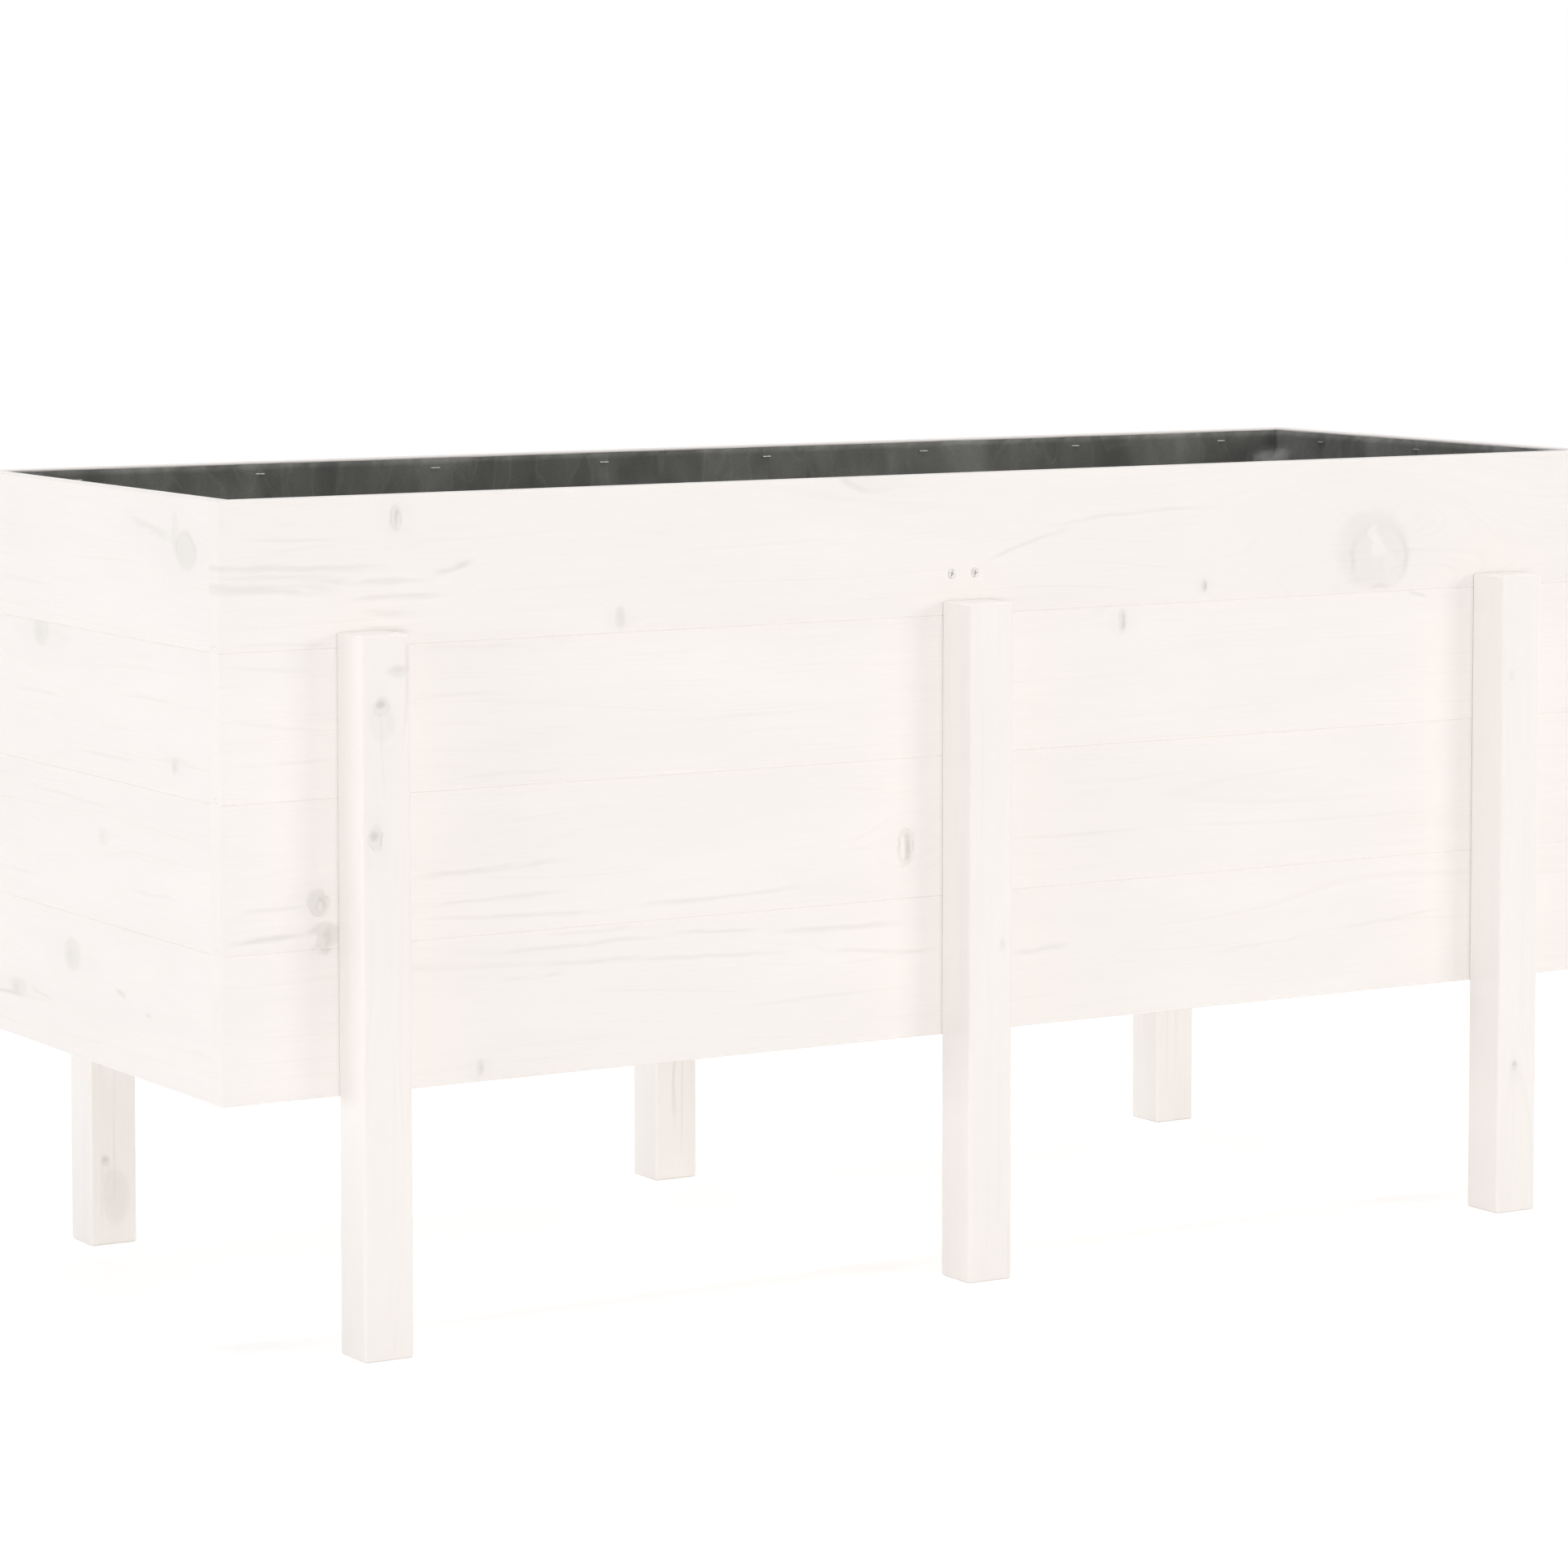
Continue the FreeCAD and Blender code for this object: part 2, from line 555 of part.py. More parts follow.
liner_shell = doc.addObject("Part::Cut", "liner_shell")
liner_shell.Base = bag_form("outside", "liner_gap", f"{RIM} - liner_drop")
liner_shell.Tool = bag_form("inside", "(liner_gap + liner_thickness)", f"{RIM} + overrun")
liner_stack = 2 * size("liner_gap") + size("liner_thickness")
puncture_length = liner_stack + size("overrun")
punctures = [Part.makeCylinder(seat.bore, puncture_length, seat.point, -seat.drive) for seat in staple_seats]
for seat in brace_screw_seats:
    inner_point = seat.point + seat.drive * size("board_thickness")
    punctures.append(Part.makeCylinder(seat.bore, puncture_length, inner_point, seat.drive))
liner_holes = doc.addObject("Part::Feature", "liner_holes")
liner_holes.Shape = Part.makeCompound(punctures)
liner = doc.addObject("Part::Cut", "liner")
liner.Label = "liner"
liner.Base = liner_shell
liner.Tool = liner_holes
doc.recompute()
cuts.append((liner, liner_shell))
subparts.append(liner)


# Fasteners: each group holds its screws or staples as separate solids
def facing(drive):
    """The turn that takes Z to the driving direction, with Y upright where that is level."""
    level = abs(drive.z) < TOUCH
    return Rotation(UP.cross(drive), UP, drive, "ZYX") if level else Rotation(UP, drive)


def add_group(label, fastener, places, sink=0):
    """Copies of a fastener at points and driving directions, sunk below the face."""
    copies = []
    for point, drive in places:
        copy = fastener.Shape.copy()
        copy.Placement = Placement(point + drive * sink, facing(drive))
        copies.append(copy)
    feature = doc.addObject("Part::Feature", label)
    feature.Label = label
    feature.Shape = Part.makeCompound(copies)
    subparts.append(feature)


def at_seats(seats):
    return [(seat.point, seat.drive) for seat in seats]


add_group("leg_screws", frame_screw, at_seats(leg_screw_seats))
add_group("batten_screws", frame_screw, at_seats(batten_screw_seats))
add_group("rail_screws", frame_screw, at_seats(rail_screw_seats))
add_group("slat_screws", slat_screw, at_seats(slat_screw_seats))
add_group("brace_screws", brace_screw, at_seats(brace_screw_seats), size("brace_screw_sink"))
staple_pairs = zip(staple_seats[::2], staple_seats[1::2])
staple_places = [((one.point + two.point) / 2, one.drive) for one, two in staple_pairs]
add_group("liner_staples", staple, staple_places, -liner_stack - size("staple_wire"))

# Checks, then one file for each sub-part
doc.recompute()
for item in doc.Objects:
    if {"Invalid", "Error"} & set(item.State):
        raise RuntimeError(f"{item.Label} failed: {item.State}")
for feature, base in cuts:
    if base.Shape.Volume - feature.Shape.Volume < TOUCH:
        raise RuntimeError(f"{feature.Label} took nothing away")
for piece in subparts:
    if piece.Shape.isNull() or not piece.Shape.isValid():
        raise RuntimeError(f"{piece.Label} has no sound shape")

os.makedirs("parts", exist_ok=True)
for piece in subparts:
    piece.Shape.exportStep(f"parts/{piece.Label}.step")
whole = Part.makeCompound([piece.Shape for piece in subparts]).BoundBox
print(f"{len(subparts)} sub-parts, {whole.XLength:.1f} x {whole.YLength:.1f} x {whole.ZLength:.1f} mm")
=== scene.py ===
import bpy
import math
import random
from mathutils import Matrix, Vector, noise


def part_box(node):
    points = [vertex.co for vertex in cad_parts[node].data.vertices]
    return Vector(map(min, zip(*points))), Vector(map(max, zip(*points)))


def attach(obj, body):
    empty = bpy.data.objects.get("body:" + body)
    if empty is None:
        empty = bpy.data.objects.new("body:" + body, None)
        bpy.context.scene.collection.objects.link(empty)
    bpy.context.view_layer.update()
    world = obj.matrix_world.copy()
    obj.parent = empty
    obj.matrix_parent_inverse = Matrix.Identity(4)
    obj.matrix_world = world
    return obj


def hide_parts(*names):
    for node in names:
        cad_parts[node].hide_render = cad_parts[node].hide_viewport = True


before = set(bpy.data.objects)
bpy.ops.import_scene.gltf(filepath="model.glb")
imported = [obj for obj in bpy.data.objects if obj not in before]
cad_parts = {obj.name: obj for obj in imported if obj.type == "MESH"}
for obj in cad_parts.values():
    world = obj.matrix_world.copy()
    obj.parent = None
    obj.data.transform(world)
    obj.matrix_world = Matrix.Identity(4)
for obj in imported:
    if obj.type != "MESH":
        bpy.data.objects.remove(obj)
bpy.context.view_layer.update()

# Front wall
# Four tongued-and-grooved pine boards stand on edge, one on another, along the whole bed. One thin
# coat of white stain hides most of the grain: late wood, resin streaks and knots show through it in
# pale grey-beige, and on the eased edges it is rubbed thin over the yellower bare wood.
STAINED_PINE = (0.945, 0.897, 0.866, 1)
STAINED_LATE_WOOD = (0.845, 0.785, 0.735, 1)
KNOT_WOOD = (0.790, 0.755, 0.720, 1)
KNOT_CORE = (0.600, 0.565, 0.530, 1)
RUBBED_EDGE = (0.925, 0.868, 0.815, 1)
RUBBED_SHARE = 0.35
STAIN_TONE, STAIN_SWING, FIBRE_SWING = 0.965, 0.07, 0.045
SMOOTHEST, ROUGHNESS_SWING = 0.50, 0.18
GRAIN_RELIEF = 0.00025
# Where the heart of a board's rings lies off its middle, in metres of depth and half widths across.
HEART_DEPTHS, HEART_SHIFTS = (0.03, 0.08), (-1.2, 1.2)
FURTHEST_ALONG = 9.0
BOARD_TONES = (0.992, 1.006)
# The hearts of strips lie up to this height and a swing below it, and their tones have a swing too.
STRIP_HEART, STRIP_HEART_SWING = 0.34, 0.06
STRIP_TONE, STRIP_TONE_SWING = 0.975, 0.05
MM = 0.001
# A knot with a longer half than this has a slow outline: waves in a metre, and how far they go.
BROAD_KNOT = 0.018
BROAD_OUTLINE, SMALL_OUTLINE = (26.0, 0.75), (95.0, 1.3)
HALO_SHARE = 0.22
COURSES = range(1, 5)


def add(tree, kind, inputs=(), **settings):
    """A shader node of a kind, with its settings and the values or links of its inputs."""
    node = tree.nodes.new("ShaderNode" + kind)
    for name, value in settings.items():
        setattr(node, name, value)
    for key, value in dict(inputs).items():
        if isinstance(value, bpy.types.NodeSocket):
            tree.links.new(value, node.inputs[key])
        else:
            node.inputs[key].default_value = value
    return node


def maths(tree, operation, *values):
    """The result of one Math node."""
    return add(tree, "Math", enumerate(values), operation=operation).outputs[0]


def vectors(tree, operation, *values):
    """The result of one Vector Math node: a length is a number, and the rest are vectors."""
    outputs = add(tree, "VectorMath", enumerate(values), operation=operation).outputs
    return outputs["Value" if operation == "LENGTH" else "Vector"]


def ramp(tree, value, low, high, start=0.0, end=1.0):
    """A smooth climb or fall between two values."""
    inputs = {"Value": value, "From Min": low, "From Max": high, "To Min": start, "To Max": end}
    return add(tree, "MapRange", inputs, interpolation_type="SMOOTHSTEP").outputs["Result"]


def stretched_noise(tree, place, stretch, detail):
    """Soft noise, stretched by a different amount along each axis."""
    inputs = {"Vector": vectors(tree, "MULTIPLY", place, stretch), "Scale": 1.0, "Detail": detail}
    return add(tree, "TexNoise", inputs, noise_dimensions="3D").outputs["Fac"]


def blend(tree, factor, first, second, mode="MIX"):
    """One colour laid over another by a factor."""
    node = add(tree, "Mix", {"Factor": factor}, data_type="RGBA", blend_type=mode)
    for socket, colour in zip([s for s in node.inputs if s.type == "RGBA"], (first, second)):
        if isinstance(colour, bpy.types.NodeSocket):
            tree.links.new(colour, socket)
        else:
            socket.default_value = colour
    return next(s for s in node.outputs if s.type == "RGBA")


def grey(tree, value):
    """A colour with the same value in its three parts."""
    return add(tree, "CombineXYZ", {0: value, 1: value, 2: value}).outputs[0]


def new_finish(name):
    """A material with an empty node tree, and the tree."""
    material = bpy.data.materials.new(name)
    material.use_nodes = True
    material.node_tree.nodes.clear()
    return material, material.node_tree


def new_group(name, inputs, outputs):
    """A shader node group with named sockets, and the inner ends of its inputs and outputs."""
    tree = bpy.data.node_groups.new(name, "ShaderNodeTree")
    for socket, value in inputs.items():
        kind = "NodeSocketVector" if isinstance(value, tuple) else "NodeSocketFloat"
        tree.interface.new_socket(socket, in_out="INPUT", socket_type=kind).default_value = value
    for socket in outputs:
        tree.interface.new_socket(socket, in_out="OUTPUT", socket_type="NodeSocketFloat")
    return tree, tree.nodes.new("NodeGroupInput").outputs, tree.nodes.new("NodeGroupOutput").inputs


# Growth rings round a heart line that runs along the board, each marked more or less strongly,
# with fine fibres drawn out along it and an uneven coat of stain.
grain_group, given, result = new_group(
    "pine_grain", {"Place": (0.0, 0.0, 0.0), "Ring Width": 0.003}, ("Late Wood", "Fibre", "Stain"))
tree = grain_group
sway = stretched_noise(tree, given["Place"], (1.7, 6.0, 6.0), 1.0)
heart_distance = vectors(tree, "LENGTH", vectors(tree, "MULTIPLY", given["Place"], (0.0, 1.0, 1.0)))
heart_distance = maths(tree, "MULTIPLY_ADD", sway, 0.045, heart_distance)
ring = maths(tree, "DIVIDE", heart_distance, given["Ring Width"])
ring_share = maths(tree, "FRACT", ring)
ring_number = maths(tree, "FLOOR", ring)
ring_chance = add(tree, "TexWhiteNoise", {"W": ring_number}, noise_dimensions="1D").outputs["Value"]
ring_strength = maths(tree, "MULTIPLY_ADD", maths(tree, "POWER", ring_chance, 3.0), 0.9, 0.2)
ring_fall = maths(tree, "MULTIPLY_ADD", ring_share, -9.0, 9.0)
late = maths(tree, "MULTIPLY", maths(tree, "POWER", ring_share, 3.0), ring_fall)
patches = ramp(tree, stretched_noise(tree, given["Place"], (5.0, 38.0, 38.0), 1.0), 0.36, 0.62)
fibre = stretched_noise(tree, given["Place"], (15.0, 540.0, 540.0), 2.0)
late = maths(tree, "MULTIPLY", maths(tree, "MULTIPLY", late, ring_strength), patches)
resin_lines = maths(tree, "MULTIPLY", ramp(tree, fibre, 0.60, 0.76), 0.45)
tree.links.new(maths(tree, "MAXIMUM", late, resin_lines), result["Late Wood"])
tree.links.new(fibre, result["Fibre"])
tree.links.new(stretched_noise(tree, given["Place"], (3.5, 14.0, 14.0), 2.0), result["Stain"])

# A knot: an oval cut through a branch with a fine ring round it, a darker core to one side, a
# shaded halo drawn out along the grain, and the shift that bends the grain round it.
knot_group, given, result = new_group(
    "pine_knot",
    {"Place": (0.0, 0.0, 0.0), "Middle": (0.0, 0.0, 0.0), "Half Size": (0.01, 0.01, 1.0),
     "Wobble": 0.0},
    ("Heart", "Core", "Ring", "Halo", "Shift"))
tree = knot_group
away = vectors(tree, "SUBTRACT", given["Place"], given["Middle"])
share = vectors(tree, "DIVIDE", away, given["Half Size"])
reach = maths(tree, "ADD", given["Wobble"], vectors(tree, "LENGTH", share))
tree.links.new(ramp(tree, reach, 0.62, 1.15, 1.0, 0.0), result["Heart"])
ring_distance = maths(tree, "ABSOLUTE", maths(tree, "SUBTRACT", reach, 0.92))
ring_part = ramp(tree, given["Wobble"], -0.09, 0.09, 0.12, 1.0)
ring_line = ramp(tree, ring_distance, 0.0, 0.24, 1.0, 0.0)
tree.links.new(maths(tree, "MULTIPLY", ring_line, ring_part), result["Ring"])
core_share = vectors(tree, "MULTIPLY_ADD", share, (2.1, 1.35, 0.0), (-0.45, 0.12, 0.0))
core_reach = maths(tree, "ADD", given["Wobble"], vectors(tree, "LENGTH", core_share))
tree.links.new(ramp(tree, core_reach, 0.25, 1.10, 1.0, 0.0), result["Core"])
halo_reach = vectors(tree, "LENGTH", vectors(tree, "MULTIPLY", share, (0.42, 0.85, 0.0)))
tree.links.new(ramp(tree, halo_reach, 0.35, 1.9, 1.0, 0.0), result["Halo"])
bend = ramp(tree, halo_reach, 0.5, 2.8, 0.85, 0.0)
away_across = add(tree, "SeparateXYZ", {0: away}).outputs["Y"]
tree.links.new(maths(tree, "MULTIPLY", away_across, bend), result["Shift"])

# A resin streak: a thin broken line along the grain that climbs and bows, and fades at its ends.
streak_group, given, result = new_group(
    "pine_streak",
    {"Place": (0.0, 0.0, 0.0), "Middle": (0.0, 0.0, 0.0), "Half Size": (0.05, 0.001, 1.0),
     "Climb": 0.0, "Bow": 0.0, "Ragged": 0.5},
    ("Mask",))
tree = streak_group
away = vectors(tree, "SUBTRACT", given["Place"], given["Middle"])
share = vectors(tree, "DIVIDE", away, given["Half Size"])
share = add(tree, "SeparateXYZ", {0: share}).outputs
slope = maths(tree, "MULTIPLY_ADD", share["X"], given["Bow"], given["Climb"])
line = maths(tree, "MULTIPLY", slope, share["X"])
line = maths(tree, "MULTIPLY_ADD", given["Ragged"], 2.4, line)
off = maths(tree, "ABSOLUTE", maths(tree, "ADD", maths(tree, "SUBTRACT", share["Y"], line), 1.2))
side_fade = ramp(tree, off, 0.0, 1.5, 1.0, 0.0)
end_fade = ramp(tree, maths(tree, "ABSOLUTE", share["X"]), 0.35, 1.05, 1.0, 0.0)
breaks = ramp(tree, given["Ragged"], 0.16, 0.48)
fade = maths(tree, "MULTIPLY", side_fade, end_fade)
tree.links.new(maths(tree, "MULTIPLY", fade, breaks), result["Mask"])

# Rubbed edges: an eased edge is where the surface faces none of the three main directions.
edge_group, given, result = new_group("rubbed_edge", {"Patches": 0.5}, ("Wear",))
tree = edge_group
facing = vectors(tree, "ABSOLUTE", add(tree, "NewGeometry").outputs["True Normal"])
facing = add(tree, "SeparateXYZ", {0: facing}).outputs
squarest = maths(tree, "MAXIMUM", maths(tree, "MAXIMUM", facing["X"], facing["Y"]), facing["Z"])
eased = ramp(tree, squarest, 0.93, 0.995, 1.0, 0.0)
worn_through = ramp(tree, given["Patches"], 0.38, 0.62)
tree.links.new(maths(tree, "MULTIPLY", eased, worn_through), result["Wear"])


def strongest(tree, masks):
    """The strongest of some masks, each with a share of its own."""
    total = None
    for mask, share in masks:
        mask = maths(tree, "MULTIPLY", mask, share)
        total = maths(tree, "MAXIMUM", total, mask) if total else mask
    return total


def pine(node, axes, seed, knots=(), streaks=(), clear=(), ring_width=0.0030, grain=0.28,
         strips=None, colour=STAINED_PINE):
    """Stained pine for a node, with its grain along the first of three axes and its depth along
    the second.

    A knot is its place along and across the grain, its two half sizes, and how dark its heart, core
    and ring are. A streak is its place, half length, half width, climb, bow and darkness. Clear
    wood is a pale oval. With strips, given as the edge of one and their width, each strip across is
    a board with rings of its own."""
    material, tree = new_finish(f"{node}_pine")
    place = add(tree, "TexCoord").outputs["Object"]
    split = add(tree, "SeparateXYZ", {0: place}).outputs
    along, depth, across = (split[axis] for axis in axes)
    flat = add(tree, "CombineXYZ", {0: along, 1: across, 2: 0.0}).outputs[0]
    wobbles = {}
    ragged = stretched_noise(tree, flat, (22.0, 120.0, 1.0), 1.0) if streaks else None

    def knot_at(middle_along, middle_across, half_along, half_across):
        """The outputs of one oval's knot group. Ovals of one kind share their outline's noise."""
        waves, sweep = BROAD_OUTLINE if half_along > BROAD_KNOT else SMALL_OUTLINE
        if waves not in wobbles:
            wobble = stretched_noise(tree, flat, (waves, waves, 1.0), 1.0)
            wobble = maths(tree, "SUBTRACT", wobble, 0.5)
            wobbles[waves] = maths(tree, "MULTIPLY", wobble, sweep)
        inputs = {"Place": flat, "Middle": (middle_along, middle_across, 0.0),
                  "Half Size": (half_along, half_across, 1.0), "Wobble": wobbles[waves]}
        return add(tree, "Group", inputs, node_tree=knot_group).outputs

    hearts, cores, halos, lines = [], [], [], []
    bent = across
    for *oval, heart_dark, core_dark, ring_dark in knots:
        knot = knot_at(*oval)
        hearts.append((knot["Heart"], heart_dark))
        halos.append((knot["Halo"], heart_dark * HALO_SHARE))
        cores += [(knot["Core"], core_dark), (knot["Ring"], ring_dark)]
        bent = maths(tree, "SUBTRACT", bent, knot["Shift"])
    for middle_along, middle_across, half_along, half_across, climb, bow, darkness in streaks:
        inputs = {"Place": flat, "Middle": (middle_along, middle_across, 0.0), "Ragged": ragged,
                  "Half Size": (half_along, half_across, 1.0),
                  "Climb": climb / half_across, "Bow": bow / half_across}
        lines.append((add(tree, "Group", inputs, node_tree=streak_group).outputs["Mask"], darkness))

    chances = random.Random(seed)
    if strips:
        strip_low, strip_width = strips
        strip = maths(tree, "DIVIDE", maths(tree, "SUBTRACT", across, strip_low), strip_width)
        strip = maths(tree, "FLOOR", strip)
        strip_seed = maths(tree, "ADD", strip, seed + 0.5)
        chance = add(tree, "TexWhiteNoise", {"W": strip_seed}, noise_dimensions="1D")
        chance = add(tree, "SeparateXYZ", {0: chance.outputs["Color"]}).outputs
        heart_place = maths(tree, "MULTIPLY_ADD", strip, strip_width, strip_low)
        heart_place = maths(tree, "MULTIPLY_ADD", chance[1], strip_width, heart_place)
        moved_across = maths(tree, "SUBTRACT", bent, heart_place)
        moved_depth = maths(tree, "SUBTRACT", depth, STRIP_HEART)
        moved_depth = maths(tree, "MULTIPLY_ADD", chance[0], STRIP_HEART_SWING, moved_depth)
        moved_along = maths(tree, "MULTIPLY_ADD", chance[2], FURTHEST_ALONG, along)
        board_tone = maths(tree, "MULTIPLY_ADD", chance[2], STRIP_TONE_SWING, STRIP_TONE)
    else:
        low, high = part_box(node)
        depth_axis, across_axis = "XYZ".index(axes[1]), "XYZ".index(axes[2])
        middle_depth = (low[depth_axis] + high[depth_axis]) / 2
        middle_across = (low[across_axis] + high[across_axis]) / 2
        half_width = high[across_axis] - middle_across
        side = chances.choice((-1, 1))
        heart_depth = middle_depth + side * chances.uniform(*HEART_DEPTHS)
        moved_depth = maths(tree, "SUBTRACT", depth, heart_depth)
        heart_across = middle_across + half_width * chances.uniform(*HEART_SHIFTS)
        moved_across = maths(tree, "SUBTRACT", bent, heart_across)
        moved_along = maths(tree, "ADD", along, chances.uniform(0.0, FURTHEST_ALONG))
        board_tone = chances.uniform(*BOARD_TONES)
    inputs = {0: moved_along, 1: moved_depth, 2: moved_across}
    grain_place = add(tree, "CombineXYZ", inputs).outputs[0]
    inputs = {"Place": grain_place, "Ring Width": ring_width}
    wood = add(tree, "Group", inputs, node_tree=grain_group).outputs

    late = maths(tree, "MULTIPLY", wood["Late Wood"], grain)
    shade = blend(tree, late, colour, STAINED_LATE_WOOD)
    if knots:
        shade = blend(tree, strongest(tree, halos + hearts), shade, KNOT_WOOD)
        shade = blend(tree, strongest(tree, cores), shade, KNOT_CORE)
    if lines:
        shade = blend(tree, strongest(tree, lines), shade, KNOT_WOOD)
    for *oval, paleness in clear:
        cleared = maths(tree, "MULTIPLY", knot_at(*oval)["Heart"], paleness)
        shade = blend(tree, cleared, shade, colour)
    tone = maths(tree, "MULTIPLY_ADD", wood["Stain"], STAIN_SWING, STAIN_TONE)
    fibre_tone = maths(tree, "SUBTRACT", wood["Fibre"], 0.5)
    tone = maths(tree, "MULTIPLY_ADD", fibre_tone, FIBRE_SWING, tone)
    tone = maths(tree, "MULTIPLY", tone, board_tone)
    shade = blend(tree, 1.0, shade, grey(tree, tone), "MULTIPLY")
    wear = add(tree, "Group", {"Patches": wood["Stain"]}, node_tree=edge_group).outputs["Wear"]
    shade = blend(tree, maths(tree, "MULTIPLY", wear, RUBBED_SHARE), shade, RUBBED_EDGE)

    height = maths(tree, "MULTIPLY_ADD", wood["Fibre"], 0.6, maths(tree, "MULTIPLY", late, 0.7))
    if knots:
        height = maths(tree, "MULTIPLY_ADD", strongest(tree, cores), -0.5, height)
    inputs = {"Height": height, "Distance": GRAIN_RELIEF, "Strength": 0.7}
    surface = add(tree, "Bump", inputs).outputs["Normal"]
    roughness = maths(tree, "MULTIPLY_ADD", wood["Stain"], ROUGHNESS_SWING, SMOOTHEST)
    inputs = {"Base Color": shade, "Roughness": roughness, "Normal": surface}
    shader = add(tree, "BsdfPrincipled", inputs)
    shader.inputs["Specular IOR Level"].default_value = 0.35
    add(tree, "OutputMaterial", {"Surface": shader.outputs[0]})
    return material


def coat(node, material):
    """Gives a CAD node its finish."""
    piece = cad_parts[node]
    if not piece.material_slots:
        piece.data.materials.append(material)
    for slot in piece.material_slots:
        slot.material = material


wall_low, wall_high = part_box("front_board_1")[0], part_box("front_board_4")[1]

# Marks on the front wall, in millimetres from its left end and down from the rim, by board.
front_knots = {
    4: [(178, 21, 6.5, 12, 0.7, 0.7, 0.45), (413, 123, 6, 12, 0.6, 0.1, 0.1),
        (1086, 121.5, 4, 7, 0.8, 0.5, 0.2), (1297, 92, 47, 41, 0.44, 0.0, 0.12),
        (1307, 101, 38, 33, 0.34, 0.0, 0.34), (690, -2, 35, 17, 0.15, 0.0, 0.22)],
    3: [(986, 151.5, 5.5, 13, 0.6, 0.5, 0.2), (749, 289, 9, 3, 0.25, 0.0, 0.0)],
    2: [(731, 360, 10, 18, 0.5, 0.62, 0.5), (97, 369, 12, 13, 0.75, 0.45, 0.35),
        (103, 399, 16, 13, 0.75, 0.35, 0.25)],
    1: [(263, 535, 4.5, 8, 0.6, 0.25, 0.15), (101, 409, 14, 8, 0.7, 0.2, 0.15)],
}
front_streaks = {
    4: [(62, 63, 130, 3.6, -4.0, 0, 0.50), (60, 71, 90, 2.6, -2, 0, 0.32),
        (40, 81, 92, 5.0, -3.8, 0, 0.55), (149, 78, 78, 3.2, -3, 0, 0.46),
        (237, 69, 24, 3.4, 4.7, 1, 0.75), (179, 93, 60, 2.8, -0.4, 0, 0.50),
        # The two marks at 171 mm along, 108 and 122 mm down, beside the top of the front left leg,
        # are grey bands drawn in the streak's shape.
        (171, 108, 34, 3.6, -1, 0, 0.40), (171, 122, 30, 2.8, -3.3, 0, 0.36),
        (74, 38, 54, 2.0, -2.1, 0, 0.32), (66, 132, 62, 1.8, -3, 0, 0.24),
        (872, 70, 56, 2.4, 16, -4, 0.42), (1000, 45, 115, 2.2, 6, -5, 0.36),
        (1340, 96, 30, 1.6, 0, 0, 0.3), (560, 60, 110, 2.0, 3, -2, 0.16)],
    3: [(50, 154, 44, 2.2, -3.5, 0, 0.24), (250, 142, 60, 2.0, -1.6, 0, 0.22),
        (58, 206, 54, 2.2, -8, 0, 0.2), (65, 239, 54, 2.2, -0.6, 0, 0.22),
        (239, 186, 50, 2.2, 1, 0, 0.2), (1356, 142, 14, 2.4, -3, 0, 0.6),
        (560, 222, 110, 2.0, 2, -1, 0.18), (1565, 271, 40, 2.0, 0, 0, 0.3),
        (300, 262, 70, 2.2, 1, 0, 0.2)],
    2: [(274, 350, 92, 2.8, 4.1, 0, 0.46), (307, 396, 118, 2.4, -4.2, 2, 0.42),
        (526, 394, 118, 2.6, 3.7, 2, 0.46), (44, 398, 46, 3.0, 1.0, 0, 0.85),
        (931, 362, 88, 2.2, -0.3, 1, 0.26), (1216, 366, 207, 2.0, -3.5, 4, 0.18),
        (52, 372, 38, 2.4, 0, 0, 0.4), (1010, 310, 60, 2.0, 3, 0, 0.18),
        (280, 378, 90, 2.2, 2, 0, 0.34)],
    1: [(385, 416, 60, 2.4, 0.5, 0, 0.34), (375, 428, 110, 2.6, 1.9, 0, 0.42),
        (520, 427, 60, 2.4, -3, 0, 0.46), (653, 434, 82, 2.6, -0.9, 0, 0.46),
        (321, 454, 40, 2.2, 0.6, 0, 0.32), (385, 445, 70, 2.4, -1.1, 0, 0.38),
        (504, 450, 100, 2.4, -3.7, 0, 0.40), (699, 460, 80, 2.4, -7.3, 2, 0.40),
        (890, 473, 40, 3.4, 2.2, 0, 0.42), (1163, 489, 80, 2.0, 4.8, 2, 0.22),
        (1322, 476, 100, 2.0, 8.6, 2, 0.20), (620, 500, 80, 2.2, 1, 0, 0.24)],
}
front_clear = {
    4: [(1298, 76, 7, 9, 0.75), (1305, 90, 9, 14, 0.7), (1318, 106, 9, 12, 0.4),
        (180.5, 24, 2.2, 7, 0.5)],
    3: [],
    2: [(727.5, 362, 2.6, 10, 0.8), (92, 402, 6, 6, 0.85), (99, 372, 3, 5, 0.5)],
    1: [(94, 412, 6, 5, 0.6)],
}


def placed(marks, start, way, top, sizes):
    """Marks in millimetres from a start and down from a top, as places and sizes in metres.

    An oval has two sizes after its place, and a streak has four, whose climb turns round where the
    marks run the other way."""
    found = []
    for x, below, *rest in marks:
        lengths = [value * MM for value in rest[:sizes]]
        if sizes == 4:
            lengths[2] *= way
        found.append((start + way * x * MM, top - below * MM, *lengths, *rest[sizes:]))
    return found


for course in COURSES:
    coat(f"front_board_{course}", pine(
        f"front_board_{course}", "XYZ", 10 + course,
        placed(front_knots[course], wall_low.x, 1, wall_high.z, 2),
        placed(front_streaks[course], wall_low.x, 1, wall_high.z, 4),
        placed(front_clear[course], wall_low.x, 1, wall_high.z, 2)))


# Left end wall
# Four shorter boards of the same make close each end. They stand between the long walls, so the
# end grain of the long boards shows as a narrow upright strip beside them.
back_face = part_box("back_board_4")[1].y
